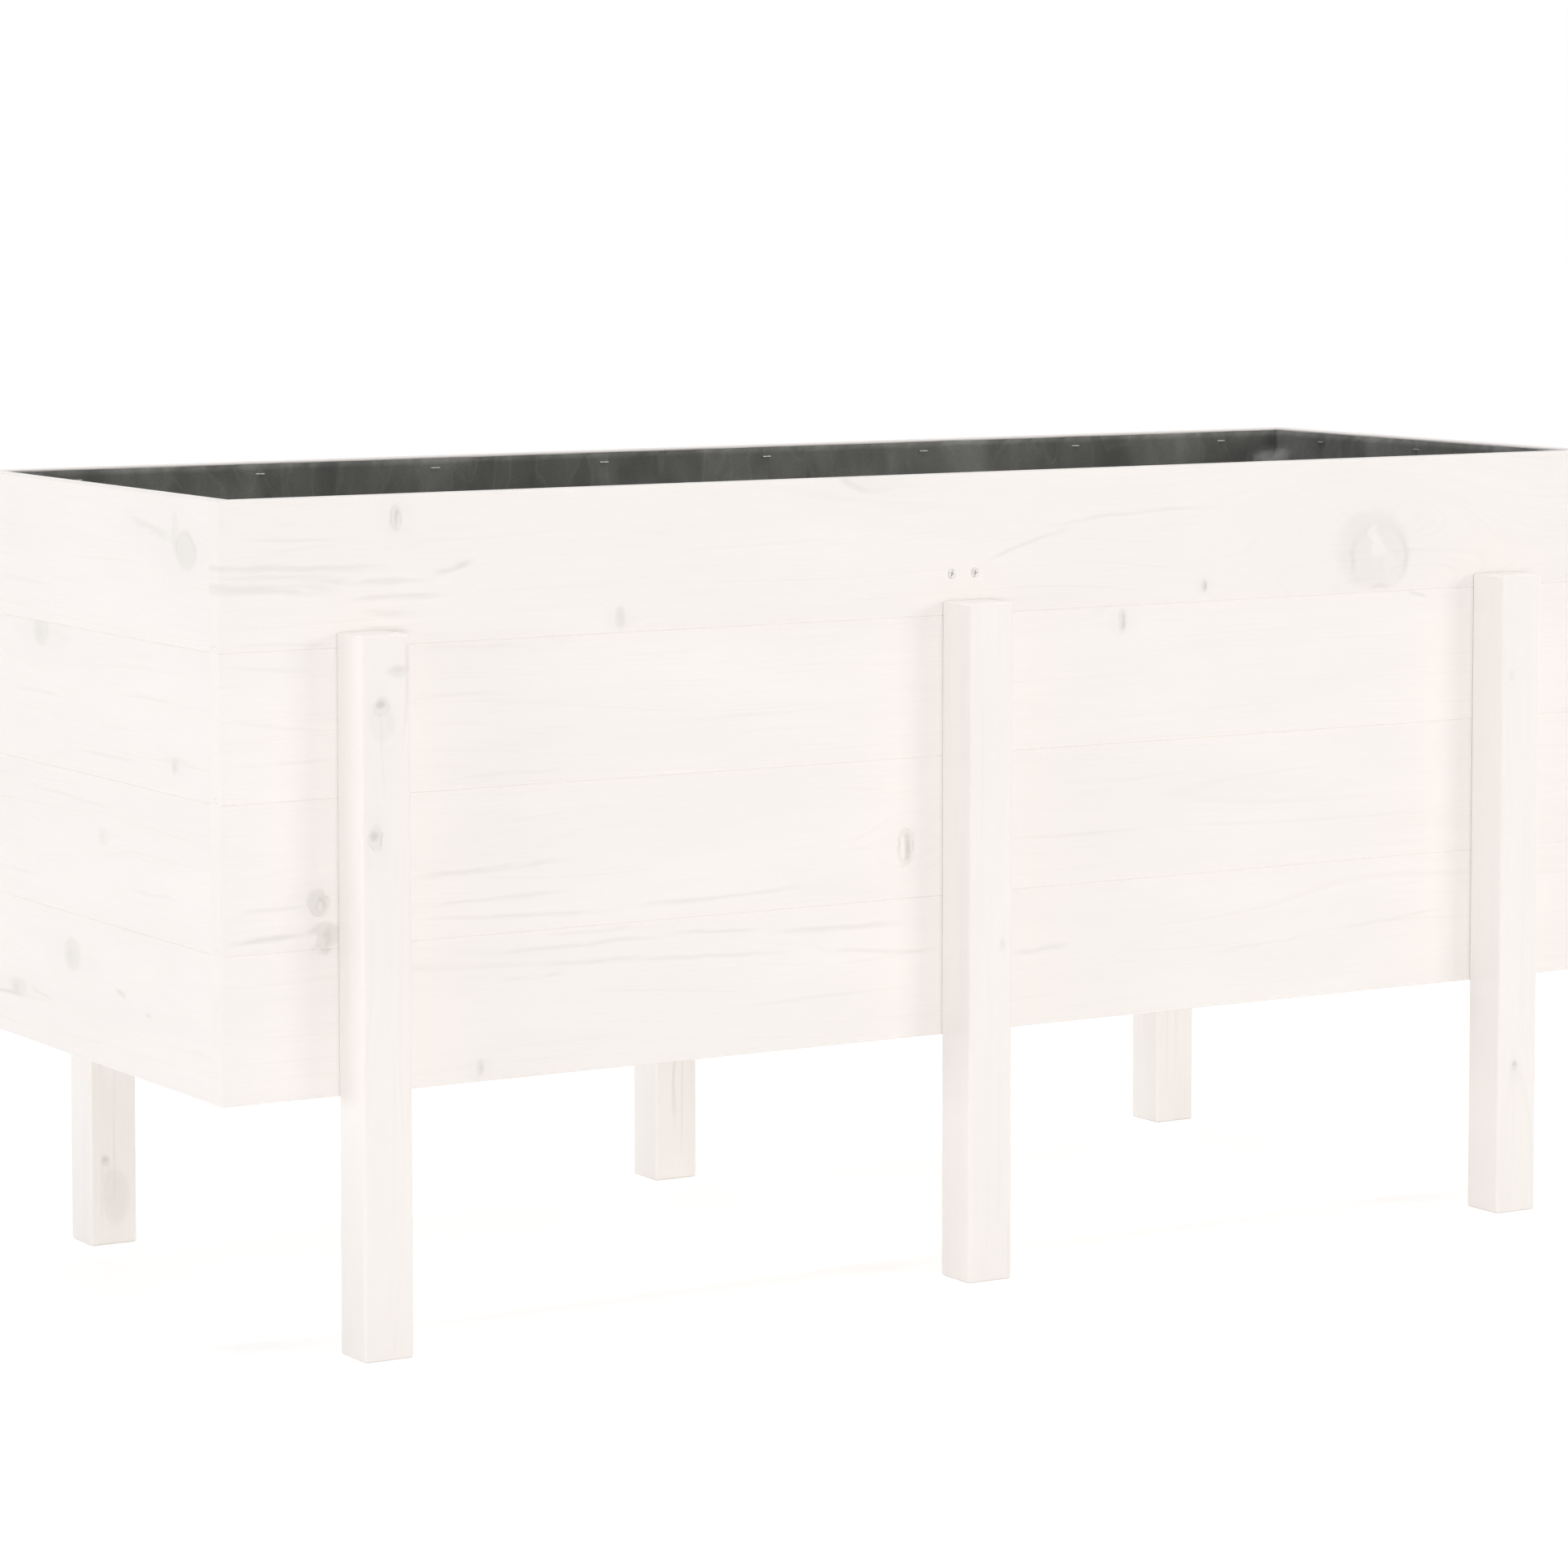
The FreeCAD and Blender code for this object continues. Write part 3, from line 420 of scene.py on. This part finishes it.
# Marks in millimetres from the back corner and down from the rim, by board.
left_knots = {
    4: [(489, 48, 23, 18, 0.55, 0.0, 0.25), (480, 50, 3, 15, 0.4, 0.1, 0.1),
        (466, 34, 8, 20, 0.3, 0.1, 0.1)],
    3: [(160, 146, 19, 15, 0.45, 0.1, 0.12), (462, 247, 9, 7, 0.45, 0.2, 0.1)],
    2: [(300, 330, 12, 9, 0.25, 0.1, 0.1)],
    1: [(226, 451, 20, 17, 0.5, 0.12, 0.12), (96, 499, 22, 9, 0.42, 0.2, 0.1)],
}
left_streaks = {
    4: [(412, 32, 58, 5.0, -9, 0, 0.42), (120, 100, 80, 2.2, 0, 1, 0.2)],
    3: [(406, 190, 60, 2.1, 1, 0, 0.25), (316, 252, 80, 2.2, 1, 1, 0.28),
        (150, 205, 60, 2.0, 0, 0, 0.2)],
    2: [(230, 300, 110, 2.0, -2, 1, 0.25), (420, 372, 70, 2.0, 1, 0, 0.2),
        (90, 384, 60, 2.2, 0, 0, 0.25)],
    1: [(60, 508, 62, 2.2, 3, 0, 0.85), (337, 474, 14, 3.2, -2, 0, 0.7),
        (398, 487, 8, 2.6, 0, 0, 0.5), (150, 498, 30, 2.4, -3, 0, 0.4)],
}
for course in COURSES:
    coat(f"left_board_{course}", pine(
        f"left_board_{course}", "YXZ", 30 + course,
        placed(left_knots[course], back_face, -1, wall_high.z, 2),
        placed(left_streaks[course], back_face, -1, wall_high.z, 4)))


# Back wall and right end wall
# The same tongued-and-grooved boards, under the same stain, close the other two sides. Their knots
# and streaks fall where each board's own log had them.
def scattered_marks(seed, along_range, across_range, knot_count, streak_count):
    """Knots and streaks strewn over one board."""
    chances = random.Random(seed)
    knots, streaks = [], []
    for _ in range(knot_count):
        size = chances.uniform(4.5, 11) * MM
        place = chances.uniform(*along_range), chances.uniform(*across_range)
        halves = size * chances.uniform(0.6, 1.0), size * chances.uniform(0.9, 1.4)
        darkness = chances.uniform(0.5, 0.85), chances.uniform(0.1, 0.9), chances.uniform(0.1, 0.6)
        knots.append((*place, *halves, *darkness))
    for _ in range(streak_count):
        place = chances.uniform(*along_range), chances.uniform(*across_range)
        halves = chances.uniform(30, 130) * MM, chances.uniform(1.8, 3.2) * MM
        climb, bow = chances.uniform(-5, 5) * MM, chances.uniform(-4, 4) * MM
        streaks.append((*place, *halves, climb, bow, chances.uniform(0.2, 0.5)))
    return knots, streaks


KNOT_MARGIN = 0.012
hidden_walls = (("back", "XYZ", 4, 7, 50), ("right", "YXZ", 2, 4, 70))
for wall, axes, knot_count, streak_count, first_seed in hidden_walls:
    for course in COURSES:
        node, seed = f"{wall}_board_{course}", first_seed + course
        low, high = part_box(node)
        reach = (low.x, high.x) if axes == "XYZ" else (low.y, high.y)
        rise = (low.z + KNOT_MARGIN, high.z - KNOT_MARGIN)
        knots, streaks = scattered_marks(seed, reach, rise, knot_count, streak_count)
        coat(node, pine(node, axes, seed, knots, streaks))


# Legs
# Six square posts with rounded corners stand outside the long walls and carry them by screws
# driven from inside. Their grain runs upright, and the back ones took the stain less evenly.
BACK_LEG_PINE = (0.945, 0.904, 0.873, 1)
LEG_RING_WIDTH = 0.0026
# Marks in millimetres up from the ground and across from the leg's left edge.
leg_knots = {
    "front_left": [(598, 20, 10, 9, 0.6, 0.6, 0.2), (584, 20, 19, 14, 0.30, 0.0, 0.04),
                   (479, 13.5, 11, 8, 0.5, 0.55, 0.45), (630, 38, 6, 13, 0.5, 0.2, 0.1)],
    "front_middle": [(330, 38, 7, 4, 0.3, 0.1, 0.1)],
    "front_right": [(154, 21, 6, 4, 0.7, 0.5, 0.3), (560, 12, 6, 4, 0.25, 0.1, 0.1)],
    "back_left": [(86, 16, 6, 5, 0.75, 0.45, 0.25), (48, 27, 30, 15, 0.50, 0.0, 0.12),
                  (62, 20, 20, 7, 0.35, 0.0, 0.1)],
    "back_middle": [(420, 30, 9, 6, 0.6, 0.4, 0.4)],
    "back_right": [(510, 14, 8, 5, 0.6, 0.5, 0.4)],
}
leg_streaks = {
    "front_left": [(610, 46, 56, 1.6, 2, -5, 0.5), (640, 46, 20, 2.4, 0, 0, 0.6),
                   (200, 30, 120, 1.4, 1, 1, 0.16), (560, 20, 60, 1.4, -3, 2, 0.24)],
    "front_middle": [(150, 35, 120, 1.4, 0, 1, 0.16), (480, 14, 120, 1.4, 1, 0, 0.16)],
    "front_right": [(300, 30, 140, 1.4, 0, 1, 0.16), (90, 20, 60, 1.4, 1, 0, 0.2)],
    "back_left": [(130, 26, 110, 1.8, 2, 1, 0.4), (60, 12, 50, 1.4, 1, 0, 0.35)],
    "back_middle": [(150, 22, 110, 2.4, 1, 1, 0.7), (90, 32, 80, 1.4, 1, 0, 0.35)],
    "back_right": [(150, 26, 100, 1.4, 1, 0, 0.35), (110, 14, 80, 1.4, 0, 0, 0.35)],
}
for number, leg in enumerate(leg_knots):
    left_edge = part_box(f"leg_{leg}")[0].x
    knots = [(up * MM, left_edge + x * MM, a * MM, b * MM, *dark)
             for up, x, a, b, *dark in leg_knots[leg]]
    streaks = [(up * MM, left_edge + x * MM, a * MM, b * MM, climb * MM, bow * MM, dark)
               for up, x, a, b, climb, bow, dark in leg_streaks[leg]]
    colour, grain = (STAINED_PINE, 0.30) if leg.startswith("front") else (BACK_LEG_PINE, 0.60)
    coat(f"leg_{leg}", pine(f"leg_{leg}", "ZYX", 90 + number, knots, streaks,
                            ring_width=LEG_RING_WIDTH, grain=grain, colour=colour))


# Corner battens, floor rails and floor slats
# Square battens inside the corners tie the walls together, and a rail along each long wall carries
# the floor's fourteen spaced slats. All are sawn pine under the same stain.
FRAME_PINE = (0.925, 0.868, 0.820, 1)
FRAME_GRAIN, SLAT_GRAIN = 0.5, 0.55
FRAME_KNOT_MARGIN = 0.008
SLATS = 14
SLAT_ROW = (-0.78, 0.78)
for number, corner in enumerate(("front_left", "front_right", "back_left", "back_right")):
    node = f"corner_batten_{corner}"
    low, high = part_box(node)
    width = (low.x + FRAME_KNOT_MARGIN, high.x - FRAME_KNOT_MARGIN)
    knots, streaks = scattered_marks(130 + number, (low.z, high.z), width, 1, 2)
    coat(node, pine(node, "ZYX", 130 + number, knots, streaks,
                    grain=FRAME_GRAIN, colour=FRAME_PINE))
for number, side in enumerate(("front", "back")):
    node = f"floor_rail_{side}"
    low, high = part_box(node)
    height = (low.z + FRAME_KNOT_MARGIN, high.z - FRAME_KNOT_MARGIN)
    knots, streaks = scattered_marks(140 + number, (low.x, high.x), height, 3, 4)
    coat(node, pine(node, "XYZ", 140 + number, knots, streaks,
                    grain=FRAME_GRAIN, colour=FRAME_PINE))
first_slat, second_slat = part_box("floor_slat_01"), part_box("floor_slat_02")
slat_pitch = second_slat[0].x - first_slat[0].x
slat_gap = second_slat[0].x - first_slat[1].x
slat_length = (first_slat[0].y, first_slat[1].y)
knots, streaks = scattered_marks(150, slat_length, SLAT_ROW, 9, 8)
slat_pine = pine("floor_slats", "YZX", 150, knots, streaks, grain=SLAT_GRAIN,
                 strips=(first_slat[0].x - slat_gap / 2, slat_pitch), colour=FRAME_PINE)
for number in range(1, SLATS + 1):
    coat(f"floor_slat_{number:02d}", slat_pine)


# Cross brace
# One square bar joins the long walls at mid-length and keeps them from bowing. Two screws through
# each wall hold its ends, and the liner passes between it and the walls.
BRACE_GRAIN = 0.45
BRACE_KNOT_MARGIN = 0.01
brace_low, brace_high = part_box("cross_brace")
width = (brace_low.x + BRACE_KNOT_MARGIN, brace_high.x - BRACE_KNOT_MARGIN)
knots, streaks = scattered_marks(163, (brace_low.y, brace_high.y), width, 2, 4)
coat("cross_brace", pine("cross_brace", "YZX", 163, knots, streaks,
                         grain=BRACE_GRAIN, ring_width=LEG_RING_WIDTH))


# Liner
# A dark grey non-woven bag keeps damp off the wood. It is cut roomier than the bed, hangs from
# staples just under the rim in loose upright folds, goes round the corner battens and over their
# tops, and lies on the slats.
LINER_GREY = (0.140, 0.141, 0.131, 1)
LINER_WORN = (0.275, 0.276, 0.257, 1)
LINER_THICKNESS = 0.0012
LINER_GAP = 0.0003
CLOTH_STEP = 0.0116
LEDGE_STEP = CLOTH_STEP * 0.44
LEDGE_HEIGHT = 0.016
SPARE_CLOTH = 0.035
CLOTH_FRAMES = 30
LONG_STAPLES, END_STAPLES = 8, 3
# How far the hold of a staple reaches sideways and down, and of the brace sideways and upright.
STAPLE_HOLD, STAPLE_DROP = 0.011, 0.006
BRACE_HOLD, BRACE_DROP = 0.014, 0.012
# Folds grow from a little slack to their full depth over this distance from a hold.
SLACK_REACH, LEAST_SLACK = 0.035, 0.0008
DEEPEST_FOLD, DEEPEST_RIM_FOLD = 0.0045, 0.0052
MOULD_GAP, MOULD_STEP, MOULD_LEDGE_STEP = 0.002, 0.5, 0.02
SLAT_SAG, SAG_FADE, SAG_MARGIN = 0.0022, 0.004, 0.02
NAP_DEPTH, CRUMPLE_DEPTH = 0.0003, 0.010
TOUCHING = 1e-4
liner_low, liner_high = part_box("liner")
batten_inner, batten_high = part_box("corner_batten_back_right")
batten_top = batten_high.z


def even_steps(breaks, steps):
    """Places from the first break to the last, evenly spaced between each two."""
    places = [breaks[0]]
    for low, high, step in zip(breaks, breaks[1:], steps):
        count = max(1, round((high - low) / step))
        places += [low + (high - low) * i / count for i in range(1, count + 1)]
    return places


def new_piece(name, data):
    """An object in the scene for a mesh, lamp or camera."""
    piece = bpy.data.objects.new(name, data)
    bpy.context.scene.collection.objects.link(piece)
    return piece


def applied(piece):
    """A piece's mesh with its modifiers applied."""
    graph = bpy.context.evaluated_depsgraph_get()
    mesh = bpy.data.meshes.new_from_object(piece.evaluated_get(graph))
    piece.modifiers.clear()
    return mesh


def bag(name, grow, step, ledge_step):
    """An open bag that follows the walls, goes round each corner batten and steps over its top."""
    half_x, half_y = liner_high.x + grow, liner_high.y + grow
    notch_x, notch_y = batten_inner.x - LINER_GAP + grow, batten_inner.y - LINER_GAP + grow
    floor_z, ledge_z = liner_low.z - grow, batten_top + LINER_GAP - grow
    xs = even_steps([-half_x, -notch_x, notch_x, half_x], [step] * 3)
    ys = even_steps([-half_y, -notch_y, notch_y, half_y], [step] * 3)
    z_breaks = [floor_z, ledge_z, ledge_z + LEDGE_HEIGHT, liner_high.z]
    zs = even_steps(z_breaks, [step, ledge_step, ledge_step * 1.4])
    nx, ny, nc = len(xs) - 1, len(ys) - 1, xs.index(-notch_x)
    # Each place on the ring is given twice: round the battens, and out to the square corners.
    ring = [((i, 0), (i, 0)) for i in range(nc, nx - nc)]
    ring += [((nx - nc, j), (nx - nc + j, 0)) for j in range(nc)]
    ring += [((nx - nc + i, nc), (nx, i)) for i in range(nc)]
    ring += [((nx, j), (nx, j)) for j in range(nc, ny - nc)]
    ring += [((nx - i, ny - nc), (nx, ny - nc + i)) for i in range(nc)]
    ring += [((nx - nc, ny - nc + j), (nx - j, ny)) for j in range(nc)]
    ring += [((i, ny), (i, ny)) for i in range(nx - nc, nc, -1)]
    ring += [((nc, ny - j), (nc - j, ny)) for j in range(nc)]
    ring += [((nc - i, ny - nc), (0, ny - i)) for i in range(nc)]
    ring += [((0, j), (0, j)) for j in range(ny - nc, nc, -1)]
    ring += [((i, nc), (0, nc - i)) for i in range(nc)]
    ring += [((nc, nc - j), (j, 0)) for j in range(nc)]
    vertices, faces, index_of = [], [], {}
    for (i, j), _ in ring:
        index_of[i, j] = len(vertices)
        vertices.append((xs[i], ys[j], floor_z))
    for z in zs[1:]:
        out = min(max((z - ledge_z) / LEDGE_HEIGHT, 0), 1)
        out = out * out * (3 - 2 * out)
        for (i, j), (k, l) in ring:
            vertices.append((xs[i] + (xs[k] - xs[i]) * out, ys[j] + (ys[l] - ys[j]) * out, z))
    count = len(ring)
    for row in range(len(zs) - 1):
        low, high = row * count, (row + 1) * count
        for p in range(count):
            q = (p + 1) % count
            faces.append((low + q, low + p, high + p, high + q))
    for j in range(ny + 1):
        for i in range(nx + 1):
            in_cross = nc <= i <= nx - nc or nc <= j <= ny - nc
            if in_cross and (i, j) not in index_of:
                index_of[i, j] = len(vertices)
                vertices.append((xs[i], ys[j], floor_z))
    for j in range(ny):
        for i in range(nx):
            if nc <= i < nx - nc or nc <= j < ny - nc:
                corners = ((i, j), (i + 1, j), (i + 1, j + 1), (i, j + 1))
                faces.append([index_of[corner] for corner in corners])
    mesh = bpy.data.meshes.new(name)
    mesh.from_pydata(vertices, [], faces)
    return new_piece(name, mesh)


def spread(count, pitch):
    """Places evenly on both sides of the middle."""
    return [(i - (count - 1) / 2) * pitch for i in range(count)]


def nearest(value, places):
    """The distance to the nearest of some places."""
    return min(abs(value - place) for place in places)


long_staples = spread(LONG_STAPLES, (wall_high.x - wall_low.x) / LONG_STAPLES)
end_staples = spread(END_STAPLES, 2 * (liner_high.y + LINER_GAP) / END_STAPLES)
staple_z = (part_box("liner_staples")[0].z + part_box("liner_staples")[1].z) / 2

liner = bag("liner_cloth", 0.0, CLOTH_STEP, LEDGE_STEP)
held = []
for vertex in liner.data.vertices:
    x, y, z = vertex.co
    on_long = abs(abs(y) - liner_high.y) < TOUCHING
    on_end = abs(abs(x) - liner_high.x) < TOUCHING
    beside_brace = abs(x) < brace_high.x + BRACE_HOLD
    level_with_brace = brace_low.z - BRACE_DROP < z < brace_high.z + BRACE_DROP
    behind_brace = on_long and beside_brace and level_with_brace
    at_staple = z > staple_z - STAPLE_DROP and (
        on_long and nearest(x, long_staples) < STAPLE_HOLD
        or on_end and nearest(y, end_staples) < STAPLE_HOLD)
    top_row = z > liner_high.z - TOUCHING
    if behind_brace or at_staple or top_row:
        held.append(vertex.index)
    if behind_brace or at_staple:
        continue
    holds = long_staples + [-liner_high.x, liner_high.x]
    gap = nearest(x, holds) if on_long else nearest(y, end_staples)
    depth = DEEPEST_RIM_FOLD if top_row else DEEPEST_FOLD
    slack = min(max(gap - STAPLE_HOLD, 0) / SLACK_REACH, 1) * depth
    run = x if on_long else y
    waves = abs(noise.noise(Vector((run * 13.0, y * 0.4 + 3, x * 0.2 + z * 2.0)))) * 1.5
    waves += abs(noise.noise(Vector((run * 31.0, 7 + y * 0.4, z * 4.0)))) * 1.1
    vertex.co += vertex.normal * (LEAST_SLACK + min(waves, 1.4) * slack)
group = liner.vertex_groups.new(name="stapled")
group.add(held, 1.0, "REPLACE")
# The spare cloth grows into folds inside a mould of the walls, battens and floor.
mould = bag("liner_mould", MOULD_GAP, MOULD_STEP, MOULD_LEDGE_STEP)
mould.modifiers.new("collision", "COLLISION")
mould.collision.thickness_outer = 0.001
mould.collision.cloth_friction = 20
cloth = liner.modifiers.new("cloth", "CLOTH")
cloth.settings.quality = 5
cloth.settings.mass = 0.25
cloth.settings.tension_stiffness = 20
cloth.settings.compression_stiffness = 20
cloth.settings.shear_stiffness = 8
cloth.settings.bending_stiffness = 0.8
cloth.settings.air_damping = 2
cloth.settings.shrink_min = -SPARE_CLOTH
cloth.settings.vertex_group_mass = "stapled"
cloth.collision_settings.distance_min = 0.0015
cloth.collision_settings.use_self_collision = False
cloth.point_cache.frame_start, cloth.point_cache.frame_end = 1, CLOTH_FRAMES
for number in range(1, CLOTH_FRAMES + 1):
    bpy.context.scene.frame_set(number)
liner.data = applied(liner)
bpy.data.objects.remove(mould)
bpy.context.scene.frame_set(1)

# The settled cloth stays off the walls and battens, and sinks a little between the slats.
slat_middles = spread(SLATS, slat_pitch)
keep_x, keep_y = batten_inner.x - LINER_GAP, batten_inner.y - LINER_GAP
for vertex in liner.data.vertices:
    co = vertex.co
    co.x = min(max(co.x, -liner_high.x), liner_high.x)
    co.y = min(max(co.y, -liner_high.y), liner_high.y)
    co.z = min(max(co.z, liner_low.z), liner_high.z)
    in_x, in_y, over = abs(co.x) - keep_x, abs(co.y) - keep_y, batten_top + LINER_GAP - co.z
    if min(in_x, in_y, over) > 0:
        if over <= min(in_x, in_y):
            co.z += over
        elif in_x < in_y:
            co.x = math.copysign(keep_x, co.x)
        else:
            co.y = math.copysign(keep_y, co.y)
    off_slat = nearest(co.x, slat_middles) - (slat_pitch - slat_gap) / 2
    on_floor = max(0.0, 1 - (co.z - liner_low.z) / SAG_FADE)
    on_floor *= abs(co.y) < batten_inner.y - SAG_MARGIN
    co.z -= SLAT_SAG * on_floor * min(max(off_slat / (slat_gap / 2), 0), 1)
hem = liner.modifiers.new("thickness", "SOLIDIFY")
hem.thickness = LINER_THICKNESS
hem.offset = 1
thick = applied(liner)
liner.data = thick
thick.polygons.foreach_set("use_smooth", [True] * len(thick.polygons))

felt, tree = new_finish("liner_felt")
place = add(tree, "TexCoord").outputs["Object"]
fibres = stretched_noise(tree, place, (900.0, 900.0, 900.0), 3.0)
pressed = add(tree, "TexVoronoi", {"Vector": place, "Scale": 520.0}, feature="F1")
dust = stretched_noise(tree, place, (9.0, 9.0, 5.0), 4.0)
crumple = stretched_noise(tree, place, (26.0, 26.0, 11.0), 1.5)
crease = maths(tree, "ABSOLUTE", maths(tree, "SUBTRACT", crumple, 0.5))
crease = ramp(tree, crease, 0.0, 0.035, 1.0, 0.0)
shade = blend(tree, ramp(tree, dust, 0.38, 0.78), LINER_GREY, LINER_WORN)
shade = blend(tree, maths(tree, "MULTIPLY", crease, 0.22), shade, LINER_WORN)
# Painted shade and light: the felt is darker in the low parts of the crumple bump and lighter on
# its high parts, multiplied with the fibres' own specks.
painted_crumple_shading = ramp(tree, crumple, 0.25, 0.70, 0.84, 1.10)
fibre_specks_and_painted_shading = maths(tree, "MULTIPLY", maths(tree, "MULTIPLY_ADD", fibres, 0.7, 0.65), painted_crumple_shading)
shade = blend(tree, 1.0, shade, grey(tree, fibre_specks_and_painted_shading), "MULTIPLY")
nap = maths(tree, "MULTIPLY_ADD", pressed.outputs["Distance"], -0.6, fibres)
inputs = {"Height": nap, "Distance": NAP_DEPTH, "Strength": 0.6}
nap = add(tree, "Bump", inputs).outputs["Normal"]
inputs = {"Height": crumple, "Distance": CRUMPLE_DEPTH, "Strength": 0.8, "Normal": nap}
soft = add(tree, "Bump", inputs).outputs["Normal"]
shader = add(tree, "BsdfPrincipled", {"Base Color": shade, "Normal": soft})
shader.inputs["Roughness"].default_value = 0.82
shader.inputs["Sheen Weight"].default_value = 0.15
add(tree, "OutputMaterial", {"Surface": shader.outputs[0]})
thick.materials.clear()
thick.materials.append(felt)
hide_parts("liner")
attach(liner, "root")


# Screws and staples
# Countersunk zinc-plated screws hold every joint, and wire staples hold the liner's edge. The
# plating is dull and a little cloudy.
ZINC = (0.66, 0.65, 0.63, 1)
DULL_ZINC = (0.50, 0.49, 0.47, 1)
zinc, tree = new_finish("zinc_plate")
place = add(tree, "TexCoord").outputs["Object"]
cloud = stretched_noise(tree, place, (420.0, 420.0, 420.0), 2.0)
shade = blend(tree, ramp(tree, cloud, 0.3, 0.7), ZINC, DULL_ZINC)
roughness = maths(tree, "MULTIPLY_ADD", cloud, 0.25, 0.38)
bump = add(tree, "Bump", {"Height": cloud, "Distance": 0.0001, "Strength": 0.3}).outputs["Normal"]
shader = add(tree, "BsdfPrincipled", {"Base Color": shade, "Roughness": roughness, "Normal": bump})
shader.inputs["Metallic"].default_value = 1.0
add(tree, "OutputMaterial", {"Surface": shader.outputs[0]})
for node in ("leg_screws", "batten_screws", "rail_screws", "slat_screws", "brace_screws",
             "liner_staples"):
    coat(node, zinc)


# Studio
# A plain white floor runs into a white backdrop. The light is soft and nearly even: half of it
# comes from all round, and the rest from a gentle warm key at the front right, a lamp overhead,
# wide low lamps on every side, and a weak strip on the ground that lifts the back legs.
def seen_directly(tree):
    """A mask of the rays that see the backdrop: from the camera, in gloss and through glass."""
    rays = add(tree, "LightPath").outputs
    seen = maths(tree, "MAXIMUM", rays["Is Camera Ray"], rays["Is Glossy Ray"])
    return maths(tree, "MAXIMUM", seen, rays["Is Transmission Ray"])


WHITE = (1, 1, 1, 1)
FLOOR_WHITE = (0.93, 0.93, 0.93, 1)
FLOOR_REACH = 30.0
GLOW_START, GLOW_END = 1.5, 4.0
NEAR_GLOW, FAR_GLOW = 0.40, 0.54
floor_mesh = bpy.data.meshes.new("studio_floor")
floor_corners = [(x * FLOOR_REACH, y * FLOOR_REACH, 0)
                 for x, y in ((-1, -1), (1, -1), (1, 1), (-1, 1))]
floor_mesh.from_pydata(floor_corners, [], [(0, 1, 2, 3)])
floor = new_piece("studio_floor", floor_mesh)
floor_finish, tree = new_finish("studio_floor_white")
matt = add(tree, "BsdfDiffuse", {"Color": FLOOR_WHITE}).outputs[0]
# Near the bed the floor glows less, so its shadow stays, and further out as much as white needs.
distance = vectors(tree, "LENGTH", add(tree, "TexCoord").outputs["Object"])
glow_strength = ramp(tree, distance, GLOW_START, GLOW_END, NEAR_GLOW, FAR_GLOW)
glow = add(tree, "Emission", {"Color": WHITE, "Strength": glow_strength}).outputs[0]
lifted = add(tree, "AddShader", {0: matt, 1: glow}).outputs[0]
shown = add(tree, "MixShader", {0: seen_directly(tree), 1: matt, 2: lifted}).outputs[0]
add(tree, "OutputMaterial", {"Surface": shown})
floor_mesh.materials.append(floor_finish)

SKY_LIGHT = (0.985, 1.0, 1.015, 1)
SKY_STRENGTH = 0.530
world = bpy.data.worlds.new("studio")
bpy.context.scene.world = world
world.use_nodes = True
tree = world.node_tree
tree.nodes.clear()
light = add(tree, "Background", {"Color": SKY_LIGHT, "Strength": SKY_STRENGTH}).outputs[0]
backdrop = add(tree, "Background", {"Color": WHITE, "Strength": 1.0}).outputs[0]
shown = add(tree, "MixShader", {0: seen_directly(tree), 1: light, 2: backdrop}).outputs[0]
add(tree, "OutputWorld", {"Surface": shown})


def soft_lamp(name, place, width, height, power, aim=(0.0, 0.0, 0.3), colour=(1, 1, 1)):
    """A flat lamp at a place, turned to a point, that the camera doesn't see."""
    lamp = bpy.data.lights.new(name, "AREA")
    lamp.shape = "RECTANGLE"
    lamp.size, lamp.size_y = width, height
    lamp.energy, lamp.color = power, colour
    holder = new_piece(name, lamp)
    holder.location = place
    holder.visible_camera = False
    holder.rotation_euler = (Vector(aim) - Vector(place)).to_track_quat("-Z", "Y").to_euler()


KEY_LIGHT = (1.0, 0.95, 0.88)
# Each lamp has its place, its width and its height in metres, and its power in watts.
soft_lamp("key_lamp", (4.2, -6.2, 2.0), 3.0, 1.8, 84, colour=KEY_LIGHT)
soft_lamp("front_fill", (-4.5, -11.2, 0.65), 3.4, 0.6, 267)
soft_lamp("corner_fill", (-7.7, -2.2, 0.6), 1.6, 0.9, 50)
soft_lamp("left_fill", (-8.0, 1.7, 0.5), 2.4, 0.9, 105)
soft_lamp("back_fill", (1.5, 7.0, 0.7), 2.4, 1.2, 112)
soft_lamp("right_fill", (8.0, 1.0, 0.7), 2.4, 1.2, 117)
soft_lamp("top_light", (0.0, 0.0, 8.0), 4.0, 4.0, 180)
soft_lamp("under_fill", (0.0, -0.2, 0.12), 1.5, 0.14, 0.55, aim=(0.0, 1.0, 0.12))

# The camera looks at the front and the left end from a little above, through a long lens.
CAMERA_PLACE = (-2.8196, -4.5632, 1.0934)
CAMERA_DOWN = math.radians(4.247)
CAMERA_TURN = -0.54792
camera_data = bpy.data.cameras.new("camera")
camera = new_piece("camera", camera_data)
camera.location = CAMERA_PLACE
camera.rotation_euler = (math.pi / 2 - CAMERA_DOWN, 0, CAMERA_TURN)
camera_data.lens = 121.32
camera_data.sensor_width = 36
camera_data.shift_y = -0.15
bpy.context.scene.camera = camera
bpy.context.scene.view_settings.view_transform = "Standard"
